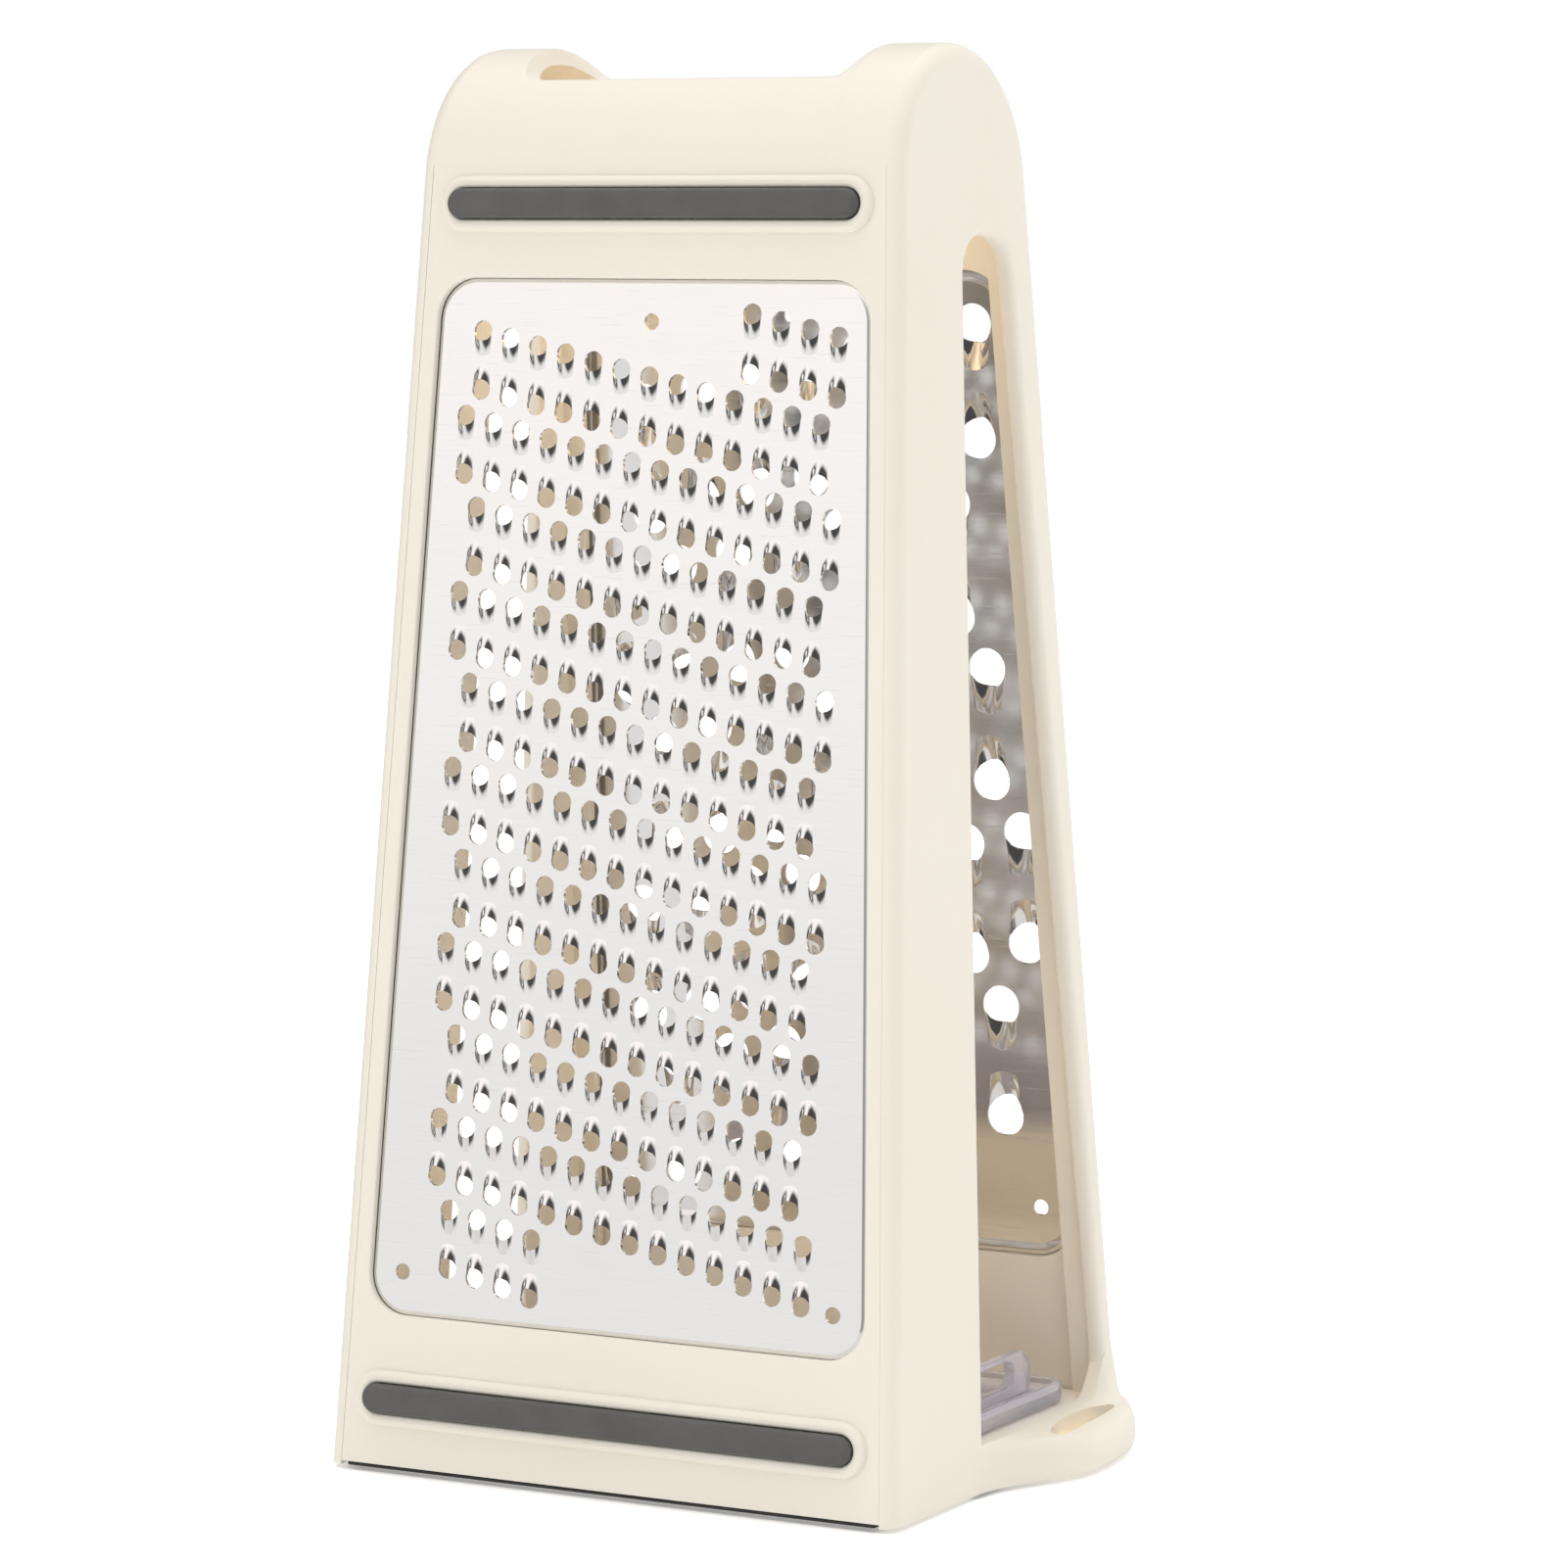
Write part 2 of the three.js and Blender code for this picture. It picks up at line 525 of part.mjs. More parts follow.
function catchTray() {
  const bottom = SILL_HEIGHT + TRAY_LIFT;
  const floor = bottom + TRAY_FLOOR;
  const end = halfWidthAt(floor + TRAY_RIM) - WALL - TRAY_END_PLAY;
  const front = OPENING_FRONT_BOTTOM + TRAY_SIDE_PLAY;
  const rear = halfDepthAt(SILL_HEIGHT) - RIGHT_BAND.bottom - OPENING_CORNER;
  const tabX = end - TAB_SETBACK;
  const tray = roundedShape(box2(-end, front, end, rear), TRAY_CORNER);
  const sheet = solid(prism(tray, bottom, floor + TRAY_RIM));
  const inner = box2(-end + TRAY_WALL, front + TRAY_WALL, end - TRAY_WALL, rear - TRAY_WALL);
  const hollow = solid(prism(roundedShape(inner, TRAY_CORNER - TRAY_WALL), floor, floor + 2 * TRAY_RIM));
  const middle = (front + rear) / 2;
  const tabFoot = floor - TRAY_FLOOR / 2;
  const tabTop = floor + TAB_HEIGHT;
  const outline = new THREE.Shape();
  outline.moveTo(middle - TAB_WIDTH / 2, tabFoot);
  outline.lineTo(middle + TAB_WIDTH / 2, tabFoot);
  const shoulder = TAB_WIDTH / 2 - TAB_CORNER;
  const arcHeight = tabTop - TAB_CORNER;
  outline.absarc(middle + shoulder, arcHeight, TAB_CORNER, 0, Math.PI / 2, false);
  outline.absarc(middle - shoulder, arcHeight, TAB_CORNER, Math.PI / 2, Math.PI, false);
  outline.closePath();
  const holeMiddle = tabTop - FINGER_HOLE_DROP;
  outline.holes.push(obround(FINGER_HOLE_LENGTH, FINGER_HOLE_HEIGHT, middle, holeMiddle));
  const tab = solid(prism(outline, tabX - TAB_THICKNESS, tabX).applyMatrix4(ALONG_X));
  return sheet.subtract(hollow).add(tab);
}

// Assembly

const grater = new THREE.Group();
const front = new THREE.Group();
front.position.x = -LIP_REACH / 2; // the lip stands out on the right only
grater.add(front);
const rear = new THREE.Group();
rear.rotation.z = Math.PI;
front.add(rear);

function faceGroup(parent) {
  const group = new THREE.Group();
  group.position.y = -BASE_DEPTH / 2;
  group.rotation.x = Math.PI / 2 - LEAN;
  parent.add(group);
  return group;
}

function addPiece(parent, name, shape, look) {
  const geometry = shape.isBufferGeometry ? shape : geometryOf(shape);
  const mesh = new THREE.Mesh(geometry, new THREE.MeshStandardMaterial(COLOURS[look]));
  mesh.name = name;
  parent.add(mesh);
}

addPiece(front, 'body_shell', bodyShell(), 'cream');
addPiece(front, 'catch_tray', catchTray(), 'clear');

const sides = [
  { end: 'front', parent: front, plate: 'fine_plate', kind: FINE_KIND },
  { end: 'rear', parent: rear, plate: 'coarse_plate', kind: COARSE_KIND },
];
for (const { end, parent, plate, kind } of sides) {
  const face = faceGroup(parent);
  addPiece(face, `${end}_panel`, facePanel(kind.bottom), 'cream');
  addPiece(face, plate, gratingPlate(kind), 'steel');
  for (const [place, s] of Object.entries(GRIP_PLACES)) {
    addPiece(face, `${end}_${place}_grip`, gripStrip(s), 'grip');
  }
  addPiece(parent, `${end}_foot_strip`, footStrip(), 'foot');
}

export default grater;
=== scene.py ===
# %% [markdown]
# # A two-sided cheese grater
#
# The grater stands like an A-frame: a cream plastic body, a fine steel plate in front, a coarse one
# behind, grey soft strips above and below each plate, and a clear tray on the floor inside. Its
# solids come packed from the workshop drawing and fix every size. This lesson dresses them: each piece
# is drawn again with rounded edges, the plates get real drawn teeth, and the finishes are mixed from
# nodes.

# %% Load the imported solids
import json
import math

import bmesh
import bpy
from mathutils import Matrix, Vector
from mathutils.geometry import tessellate_polygon

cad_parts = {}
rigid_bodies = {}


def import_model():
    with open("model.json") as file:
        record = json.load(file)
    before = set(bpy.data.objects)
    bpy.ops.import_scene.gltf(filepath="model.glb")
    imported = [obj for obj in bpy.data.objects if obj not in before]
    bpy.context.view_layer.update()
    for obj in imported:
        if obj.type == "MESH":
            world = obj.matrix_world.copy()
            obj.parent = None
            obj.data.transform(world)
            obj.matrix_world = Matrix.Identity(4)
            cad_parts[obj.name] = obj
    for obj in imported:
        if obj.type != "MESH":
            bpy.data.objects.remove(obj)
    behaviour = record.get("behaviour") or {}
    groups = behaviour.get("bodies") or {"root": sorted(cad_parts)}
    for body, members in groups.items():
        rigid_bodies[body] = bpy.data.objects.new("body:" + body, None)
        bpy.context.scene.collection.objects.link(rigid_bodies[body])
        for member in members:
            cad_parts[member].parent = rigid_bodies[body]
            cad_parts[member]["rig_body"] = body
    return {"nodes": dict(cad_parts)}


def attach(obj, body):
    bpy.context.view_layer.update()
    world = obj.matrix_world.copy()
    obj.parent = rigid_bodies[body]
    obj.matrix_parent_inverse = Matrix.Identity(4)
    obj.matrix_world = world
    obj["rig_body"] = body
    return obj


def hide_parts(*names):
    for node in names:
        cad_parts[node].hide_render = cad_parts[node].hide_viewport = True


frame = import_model()
SCENE = bpy.context.scene
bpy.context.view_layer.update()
print("pieces in the frame:", sorted(frame["nodes"]))

# %% [markdown]
# ## Sizes of the body
#
# The main sizes are repeated here in millimetres, as on the workshop drawing. The body narrows towards
# its ridge, and its front and back lean in until they meet the round arch. A face is drawn flat first,
# with x across, s up its slope and n outwards, and then tipped back onto the body.

# %% Main sizes
MM = 0.001
HEIGHT = 241
BASE_WIDTH = 110
RIDGE_WIDTH = 91
BASE_DEPTH = 85.6
ARCH_RADIUS = 23
WALL = 2.8
SILL_HEIGHT = 8
LIP_REACH = 10
ARCH_CENTRE = HEIGHT - ARCH_RADIUS
TAPER = (BASE_WIDTH - RIDGE_WIDTH) / 2 / HEIGHT
LEAN = math.acos(ARCH_RADIUS / math.hypot(BASE_DEPTH / 2, ARCH_CENTRE)) - math.atan2(
    ARCH_CENTRE, BASE_DEPTH / 2
)


def half_width(z):
    """Half the body's width at a height."""
    return BASE_WIDTH / 2 - TAPER * z


def half_depth(z):
    """Half the body's depth at a height below the arch."""
    return BASE_DEPTH / 2 - z * math.tan(LEAN)


def inner_half_width(s):
    """Half the width between the side walls, at s up the slope of a face."""
    return half_width(s * math.cos(LEAN)) - WALL


def at(x, y, z):
    """A place on the body: millimetres from its middle become metres in the frame."""
    return Vector((x - LIP_REACH / 2, y, z)) * MM


def face_matrix(turn):
    """From a flat face in millimetres to its place on the body in metres."""
    middle = Matrix.Translation((-LIP_REACH / 2, 0, 0))
    tip = Matrix.Translation((0, -BASE_DEPTH / 2, 0)) @ Matrix.Rotation(math.pi / 2 - LEAN, 4, "X")
    return Matrix.Scale(MM, 4) @ middle @ Matrix.Rotation(turn, 4, "Z") @ tip


FACES = {"front": face_matrix(0), "rear": face_matrix(math.pi)}
print("faces lean back by", round(math.degrees(LEAN), 2), "degrees")

# %% [markdown]
# ## Sums that read like Python
#
# A node tree is a drawing of a sum. The class below wraps one output socket, so that `1 - mask` or
# `row * gap` adds the Math node for us. Every other node comes from one method, `make`, which takes
# the node's type, its settings and what goes into its sockets. It serves materials and geometry alike.


# %% One small class for sockets
class Wire:
    """An output socket; sums on it add Math nodes to its tree."""

    def __init__(self, socket):
        self.socket = socket

    @staticmethod
    def make(tree, kind, settings=None, sockets=None, output=0):
        node = tree.nodes.new(kind)
        for name, value in (settings or {}).items():
            if name == "stops":
                for stop, (place, grey) in zip(node.color_ramp.elements, value):
                    stop.position, stop.color = place, (grey, grey, grey, 1)
            else:
                setattr(node, name, value)
        for name, value in (sockets or {}).items():
            for one in value if isinstance(value, list) else [value]:
                if isinstance(one, Wire):
                    tree.links.new(one.socket, node.inputs[name])
                else:
                    node.inputs[name].default_value = one
        return Wire(node.outputs[output])

    def math(self, operation, *values):
        sockets = dict(enumerate((self, *values)))
        return Wire.make(self.socket.id_data, "ShaderNodeMath", {"operation": operation}, sockets)

    def __add__(self, other):
        return self.math("ADD", other)

    def __sub__(self, other):
        return self.math("SUBTRACT", other)

    def __rsub__(self, other):
        return (self * -1) + other

    def __mul__(self, other):
        return self.math("MULTIPLY", other)

    def __truediv__(self, other):
        return self.math("DIVIDE", other)

    __radd__ = __add__
    __rmul__ = __mul__


print("sockets now add, subtract, multiply and divide")

# %% [markdown]
# ## Finishes
#
# Each finish reads Object coordinates, which are the grater's own metres, so a grain keeps its real
# size from every side and on every piece. Only the colour, roughness and bump vary over a surface.


# %% Start a finish
def new_finish(name, **constants):
    """A material with a Principled shader; constants are set on the shader's own sockets."""
    material = bpy.data.materials.new(name)
    material.use_nodes = True
    tree = material.node_tree
    shader = tree.nodes["Principled BSDF"]
    for socket, value in constants.items():
        shader.inputs[socket.replace("_", " ")].default_value = value
    place = Wire.make(tree, "ShaderNodeTexCoord", output="Object")
    return material, tree, shader, place


def noise(tree, place, scale, detail=3.0, stretch=None):
    """Soft noise of a given scale (waves in a metre), perhaps drawn out along an axis."""
    if stretch:
        place = Wire.make(
            tree, "ShaderNodeVectorMath", {"operation": "MULTIPLY"}, {0: place, 1: stretch}
        )
    sockets = {"Vector": place, "Scale": scale, "Detail": detail}
    return Wire.make(tree, "ShaderNodeTexNoise", {"noise_dimensions": "3D"}, sockets, "Fac")


def harder(tree, value, dark, light):
    """Stretches a soft value so that it runs from 0 at `dark` to 1 at `light`."""
    stops = [(dark, 0), (light, 1)]
    return Wire.make(tree, "ShaderNodeValToRGB", {"stops": stops}, {"Fac": value})


def two_tone(tree, factor, first, second):
    """A colour that runs from the first to the second as the factor goes from 0 to 1."""
    sockets = {"Factor": factor, 6: (*first, 1), 7: (*second, 1)}
    return Wire.make(tree, "ShaderNodeMix", {"data_type": "RGBA"}, sockets, 2)


def connect(tree, shader, colour, roughness, height, strength, distance):
    """Feeds what varies over the surface: colour, roughness and a bump of the given depth."""
    sockets = {"Height": height, "Strength": strength, "Distance": distance}
    bump = Wire.make(tree, "ShaderNodeBump", None, sockets)
    for wire, socket in ((colour, "Base Color"), (roughness, "Roughness"), (bump, "Normal")):
        tree.links.new(wire.socket, shader.inputs[socket])


print("finish helpers ready")

# %% [markdown]
# ### Cream plastic
#
# The body and the panels are moulded from one cream plastic with a soft sheen. Large faint clouds
# vary its colour, and a very fine spark-eroded grain breaks up the gloss.


# %% Cream plastic
def cream_plastic():
    material, tree, shader, place = new_finish("cream plastic", IOR=1.49, Specular_IOR_Level=0.45)
    clouds = noise(tree, place, 22)
    grain = noise(tree, place, 2600, 2)
    colour = two_tone(tree, clouds * 0.7 + grain * 0.3, (0.80, 0.765, 0.672), (0.86, 0.838, 0.755))
    connect(tree, shader, colour, 0.34 + grain * 0.14, grain, 0.12, 0.0001)
    return material


CREAM = cream_plastic()
print("made", CREAM.name)

# %% [markdown]
# ### Polished steel
#
# The plates are bright stainless sheet. Polishing leaves faint lines across the plate, so the noise is
# drawn out along x: long in one direction and fine in the other two. A ramp keeps only the strongest
# lines, which dull the polish a little. An attribute marks the faces turned inwards, the back of the
# sheet and the undersides of the tongues, and makes them greyer and duller: painted shade for the
# hollows under the tongues and the inside of the grater.


# %% Polished steel
def polished_steel():
    material, tree, shader, place = new_finish("polished steel", Metallic=1.0)
    lines = noise(tree, place, 1.0, 4, (60, 1900, 1900))
    scratches = harder(tree, noise(tree, place, 1.0, 2, (150, 2600, 2600)), 0.62, 0.72)
    clouds = noise(tree, place, 30)
    tone = lines * 0.5 + clouds * 0.5 - scratches * 0.4
    # Painted shade: faces marked as turned inwards get a greyer, duller steel.
    back = Wire.make(tree, "ShaderNodeAttribute", {"attribute_name": "back"}, output="Fac")
    polish_and_painted_shade = (0.4 + tone * 0.6) * (1 - back)
    colour = two_tone(tree, polish_and_painted_shade, (0.82, 0.812, 0.81), (0.95, 0.94, 0.93))
    roughness = 0.05 + lines * 0.06 + scratches * 0.1 + back * 0.03
    connect(tree, shader, colour, roughness, lines, 0.03, 0.00005)
    return material


STEEL = polished_steel()
print("made", STEEL.name)

# %% [markdown]
# ### Soft grey strips and dark feet
#
# The strips are a matt rubbery plastic. Fine grain in the bump scatters the light, and a little dust
# makes the grey lighter in patches. The feet are the same stuff, much darker.


# %% Soft strips
def soft_rubber(name, dark, light, roughness):
    material, tree, shader, place = new_finish(name, IOR=1.5, Specular_IOR_Level=0.35)
    grain = noise(tree, place, 3200, 2)
    dust = harder(tree, noise(tree, place, 120, 5), 0.35, 0.75)
    colour = two_tone(tree, grain * 0.4 + dust * 0.6, dark, light)
    connect(tree, shader, colour, roughness + grain * 0.12, grain, 0.25, 0.0001)
    return material


GRIP = soft_rubber("soft grey rubber", (0.085, 0.085, 0.083), (0.123, 0.122, 0.119), 0.45)
FOOT = soft_rubber("dark foot rubber", (0.022, 0.022, 0.024), (0.045, 0.045, 0.047), 0.6)
print("made", GRIP.name, "and", FOOT.name)

# %% [markdown]
# ### Clear plastic
#
# The tray is clear with a breath of lavender. Light passes through it, so the shader transmits; faint
# scuffs vary its roughness.


# %% Clear plastic
def clear_plastic():
    material, tree, shader, place = new_finish("clear plastic", IOR=1.3, Transmission_Weight=0.74)
    scuffs = noise(tree, place, 300, 5)
    colour = two_tone(tree, scuffs, (0.88, 0.87, 0.97), (0.93, 0.92, 1.0))
    connect(tree, shader, colour, 0.03 + scuffs * 0.06, scuffs, 0.04, 0.0002)
    return material


CLEAR = clear_plastic()
print("made", CLEAR.name)

# %% [markdown]
# ## Solids with rounded edges
#
# A moulded piece never has a knife-sharp edge: the light always catches a small round. Nearly every
# piece here is a flat outline with some thickness, so one helper makes them all. It follows each
# outline with a stack of rings, drawn in a little at the top and bottom to round the edge, and then
# fills both flats. The rings hold the round, so the flats stay truly flat.


# %% Outlines
def rounded_corners(corners, radii, steps=8):
    """A closed outline that runs anticlockwise; a corner with radius 0 stays sharp."""
    points = []
    corners = [Vector(corner) for corner in corners]
    for i, (corner, radius) in enumerate(zip(corners, radii)):
        if not radius:
            points.append(corner)
            continue
        before = (corners[i - 1] - corner).normalized()
        after = (corners[(i + 1) % len(corners)] - corner).normalized()
        half = before.angle(after) / 2
        centre = corner + (before + after).normalized() * radius / math.sin(half)
        start = corner + before * radius / math.tan(half) - centre
        for k in range(steps + 1):
            swing = (math.pi - 2 * half) * k / steps
            points.append(centre + Matrix.Rotation(swing, 2) @ start)
    return points


def oblong(length, height, x=0, y=0, corner=None):
    """A rectangle about a point, with round ends unless a corner radius is given."""
    corner = height / 2 - 0.01 if corner is None else corner
    a, b = length / 2, height / 2
    corners = [(x - a, y - b), (x + a, y - b), (x + a, y + b), (x - a, y + b)]
    return rounded_corners(corners, [corner] * 4)


def moved_in(points, inset):
    """The outline moved to its left by the inset, which is inwards where it runs anticlockwise."""
    moved = []
    for i, point in enumerate(points):
        ahead = (points[(i + 1) % len(points)] - point).normalized()
        behind = (point - points[i - 1]).normalized()
        left = Vector((-ahead.y - behind.y, ahead.x + behind.x)).normalized()
        moved.append(point + left * inset / left.dot(Vector((-ahead.y, ahead.x))))
    return moved


def edge(points, above=0, below=0):
    """An outline with the rounds of its upper and lower edge."""
    return lambda inset: moved_in(points, inset), above, below


def hole(points, above=0, below=0):
    """The same for a hole, which runs the other way round."""
    return edge(points[::-1], above, below)


print("outline helpers ready")


# %% Rings, flats and solids
def skin(shape, outline, rings, place):
    """Joins rings, each an inset of the outline and a level; gives the first and last rim."""
    rims = []
    for inset, level in rings:
        flat = outline(inset)
        rims.append((flat, [shape.verts.new(place(u, v, level)) for u, v in flat]))
    for (_, upper), (_, lower) in zip(rims, rims[1:]):
        for i in range(len(upper)):
            shape.faces.new((upper[i - 1], lower[i - 1], lower[i], upper[i]))
    return rims[0], rims[-1]


def cap(shape, rims):
    """Fills the flat between an outer rim and the rims of its holes."""
    flats = [[point.to_3d() for point in flat] for flat, _ in rims]
    verts = [vert for _, ring in rims for vert in ring]
    for triangle in tessellate_polygon(flats):
        shape.faces.new([verts[k] for k in triangle])


def quarter_round(radius, level, way, steps=4):
    """Insets and levels that turn a corner, from the flat at `level` to the side."""
    turns = [math.pi / 2 * k / steps for k in range(steps + 1)] if radius else [math.pi / 2]
    return [(radius * (1 - math.sin(a)), level + way * radius * (1 - math.cos(a))) for a in turns]


def solid_between(shape, edges, low, high, place):
    """Adds a solid between two levels; its first edge is outside, the others are holes."""
    tops, bottoms = [], []
    for outline, above, below in edges:
        rings = quarter_round(above, high, -1)
        under = quarter_round(below, low, 1)[::-1]
        rings += under[1:] if math.dist(rings[-1], under[0]) < 1e-6 else under
        top, bottom = skin(shape, outline, rings, place)
        tops.append(top)
        bottoms.append(bottom)
    cap(shape, tops)
    cap(shape, bottoms)


print("solids can be drawn")

# %% [markdown]
# A finished mesh gets its faces turned outwards and shaded smooth, except across edges that are still
# sharp. The Weighted Normal modifier lets the large flats decide the shading, so that a rounded edge
# doesn't smear across them. Then the piece becomes a plain mesh, rides on its body, and stands for its
# solid, which stays hidden underneath for the physics.


# %% From mesh to finished piece
def plain_mesh(piece):
    """Applies a piece's modifiers for good."""
    seen = piece.evaluated_get(bpy.context.evaluated_depsgraph_get())
    mesh = bpy.data.meshes.new_from_object(seen)
    piece.modifiers.clear()
    piece.data = mesh
    return mesh


def new_object(name, shape, finish, smooth=40):
    """An object from a mesh in the making."""
    bmesh.ops.recalc_face_normals(shape, faces=shape.faces)
    mesh = bpy.data.meshes.new(name)
    shape.to_mesh(mesh)
    shape.free()
    mesh.materials.append(finish)
    mesh.shade_smooth()
    mesh.set_sharp_from_angle(angle=math.radians(smooth))
    piece = bpy.data.objects.new(name, mesh)
    SCENE.collection.objects.link(piece)
    return piece


def stand_in(piece, node):
    """Lets the piece ride on its solid's body and stand for the solid."""
    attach(piece, frame["nodes"][node]["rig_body"])
    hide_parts(node)
    print(piece.name, len(piece.data.polygons), "faces")


def dressed(node, shape, finish):
    piece = new_object(node + "_dressed", shape, finish)
    even = piece.modifiers.new("even shading", "WEIGHTED_NORMAL")
    even.keep_sharp = True
    plain_mesh(piece)
    stand_in(piece, node)
    return piece


def combined(first, second, operation):
    """The first object joined with the second, or cut by it; the second is used up."""
    tool = first.modifiers.new("combine", "BOOLEAN")
    tool.operation = operation
    tool.solver = "EXACT"
    tool.object = second
    plain_mesh(first)
    bpy.data.objects.remove(second)
    return first


print("pieces can be finished")

# %% [markdown]
# ## Body: the side walls
#
# Each side wall is a tall A with a round top and a long opening. Its outer edge is one generous round,
# as thick as the wall, and the opening has a soft round outside and a small one inside. The wall is
# drawn in y and z, and its place then leans in with the taper. Its foot stays flat on the ground.


# %% Side walls
OPENING_DROP = 32
OPENING_TOP = HEIGHT - OPENING_DROP
OPENING_FRONT_BOTTOM = -9.7
OPENING_FRONT_TOP = -1.3
OPENING_CORNER = 7
OPENING_ROUND = 1.7
OPENING_EDGE = 0.5
OPENING_BANDS = {1: (5.6, 9.5), -1: (25, 11)}
ARCH_STEPS = 36


def side_outline(inset):
    """The wall's outline, drawn in all round except at the foot."""
    foot = BASE_DEPTH / 2 - inset / math.cos(LEAN)
    points = [Vector((-foot, 0)), Vector((foot, 0))]
    for k in range(ARCH_STEPS + 1):
        turn = LEAN + (math.pi - 2 * LEAN) * k / ARCH_STEPS
        across = Vector((math.cos(turn), math.sin(turn)))
        points.append(Vector((0, ARCH_CENTRE)) + across * (ARCH_RADIUS - inset))
    return points


def side_wall(shape, side):
    low_band, high_band = OPENING_BANDS[side]
    corners = [
        (OPENING_FRONT_BOTTOM, SILL_HEIGHT),
        (half_depth(SILL_HEIGHT) - low_band, SILL_HEIGHT),
        (half_depth(OPENING_TOP) - high_band, OPENING_TOP),
        (OPENING_FRONT_TOP, OPENING_TOP),
    ]
    opening = rounded_corners(corners, [0, OPENING_CORNER, OPENING_CORNER, OPENING_CORNER])
    edges = [(side_outline, WALL, 0), hole(opening, OPENING_ROUND, OPENING_EDGE)]
    solid_between(shape, edges, -WALL, 0, lambda y, z, n: at(side * (half_width(z) + n), y, z))


body = bmesh.new()
for side in (1, -1):
    side_wall(body, side)
print("side walls have", len(body.faces), "faces")

# %% [markdown]
# ## Body: the arch with its hand notch
#
# Between the walls runs the arch, a bent band with a long shallow notch for the palm. Seen from the
# front, the notch is flat in the middle and swings up at both ends. Cutting it with a Boolean would
# leave a ragged edge, so the band is drawn column by column: up the outside, over the notch's rim, and
# down the inside. Columns crowd where the inside of the arch closes, so that its edge stays round. The
# back half is a mirror image of the front.


# %% Columns of the arch
NOTCH_DEPTH = 5.6
NOTCH_HALF = 29
NOTCH_FLARE = 4
SEAM_RISE = 1.2
SEAM = 0.15
RIM_ROUND = 0.8
BAND_STEPS = 14
WALL_BITE = 0.1
INNER_RADIUS = ARCH_RADIUS - WALL
CROWN_SHARES = (0, 0.33, 0.6, 0.8, 0.91, 0.97, 1)
SWING_SHARES = [0.4, 0.45, 0.5]
BAND_SHARES = (0.3, 0.7, 1)
RIM_SHARE = 0.3


def notch_end(t):
    """The swing at the notch's end, as a curve from the notch's floor past the ridge."""
    x = NOTCH_HALF + NOTCH_FLARE * (3 * t * (1 - t) + 2 * t**3)
    return x, HEIGHT - NOTCH_DEPTH + 2 * NOTCH_DEPTH * t * t * (3 - 2 * t)


def inner_crown_share():
    """Where on the swing the notch's floor comes level with the inside of the arch."""
    low, high = 0, 0.5
    for _ in range(40):
        middle = (low + high) / 2
        low, high = (middle, high) if notch_end(middle)[1] < HEIGHT - WALL else (low, middle)
    return low


def arch_columns():
    """Pairs of a place across the band and the height of the notch there."""
    crown = inner_crown_share()
    columns = [(lambda z, x=x: x, HEIGHT - NOTCH_DEPTH) for x in (0, NOTCH_HALF / 2)]
    swing = [crown * share for share in CROWN_SHARES]
    for t in swing + SWING_SHARES:
        x, z = notch_end(t)
        columns.append((lambda _, x=x: x, min(z, HEIGHT) if t != crown else HEIGHT - WALL))
    last = notch_end(SWING_SHARES[-1])[0]
    for share in BAND_SHARES:
        def across(z, share=share):
            return last + share * (half_width(z) - WALL + WALL_BITE - last)
        columns.append((across, HEIGHT))
    return columns


def arch_section(top):
    """Front half of a column: the outside, the rim and the inside, as (y, z) points."""
    rise = top - ARCH_CENTRE
    reach = [math.sqrt(max(0, r * r - rise * rise)) for r in (ARCH_RADIUS, INNER_RADIUS)]
    reach = [0 if r < 0.001 else r for r in reach]
    bend = min(RIM_ROUND, RIM_SHARE * (reach[0] - reach[1]))
    start = LEAN + (SEAM_RISE - SEAM) / ARCH_RADIUS
    arcs = []
    for radius, limit in ((ARCH_RADIUS, reach[0]), (INNER_RADIUS, reach[1])):
        stop = math.acos(limit / radius) - (bend / radius if limit else 0)
        turns = [start + (stop - start) * k / BAND_STEPS for k in range(BAND_STEPS + 1)]
        arcs.append([Vector((-math.cos(a), math.sin(a))) * radius for a in turns])
    outside, inside = arcs
    corners = [Vector((-reach[0], rise)), Vector((-reach[1], rise))]
    flat = [Vector((-reach[0] + bend, rise)), Vector((-reach[1] - (bend if reach[1] else 0), rise))]
    ends = [outside[-1], inside[-1] if reach[1] else flat[1]]
    soft = [(ends[k] + 2 * corners[k] + flat[k]) / 4 for k in (0, 1)]
    rim = [ends[0], soft[0], flat[0], flat[1], soft[1] if reach[1] else flat[1], ends[1]]
    return outside, rim, inside[::-1]


print("the notch meets the inside of the arch at", round(inner_crown_share(), 3), "of its swing")


# %% Join the columns
def arch_half(shape, way, side):
    """A quarter of the band; `way` and `side` are -1 or 1."""
    stacks = []
    for across, top in arch_columns():
        section = []
        for part in arch_section(top):
            heights = [(y, ARCH_CENTRE + rise) for y, rise in part]
            section.append([at(side * across(z), way * y, z) for y, z in heights])
        stacks.append([[shape.verts.new(place) for place in part] for part in section])
    for here, there in zip(stacks, stacks[1:]):
        strips = [(here[k], there[k]) for k in range(3)]
        strips.append(([here[2][-1], here[0][0]], [there[2][-1], there[0][0]]))
        for first, second in strips:
            for i in range(len(first) - 1):
                shape.faces.new((first[i], first[i + 1], second[i + 1], second[i]))
    outside, _, inside = stacks[-1]
    for i in range(BAND_STEPS):
        shape.faces.new((outside[i], outside[i + 1], inside[-2 - i], inside[-1 - i]))


band = bmesh.new()
for way in (-1, 1):
    for side in (-1, 1):
        arch_half(band, way, side)
bmesh.ops.remove_doubles(band, verts=band.verts, dist=2e-6)
bmesh.ops.dissolve_degenerate(band, dist=1e-7, edges=band.edges)
open_edges = sum(not e.is_manifold for e in band.edges)
print("the arch has", len(band.faces), "faces and", open_edges, "open edges")

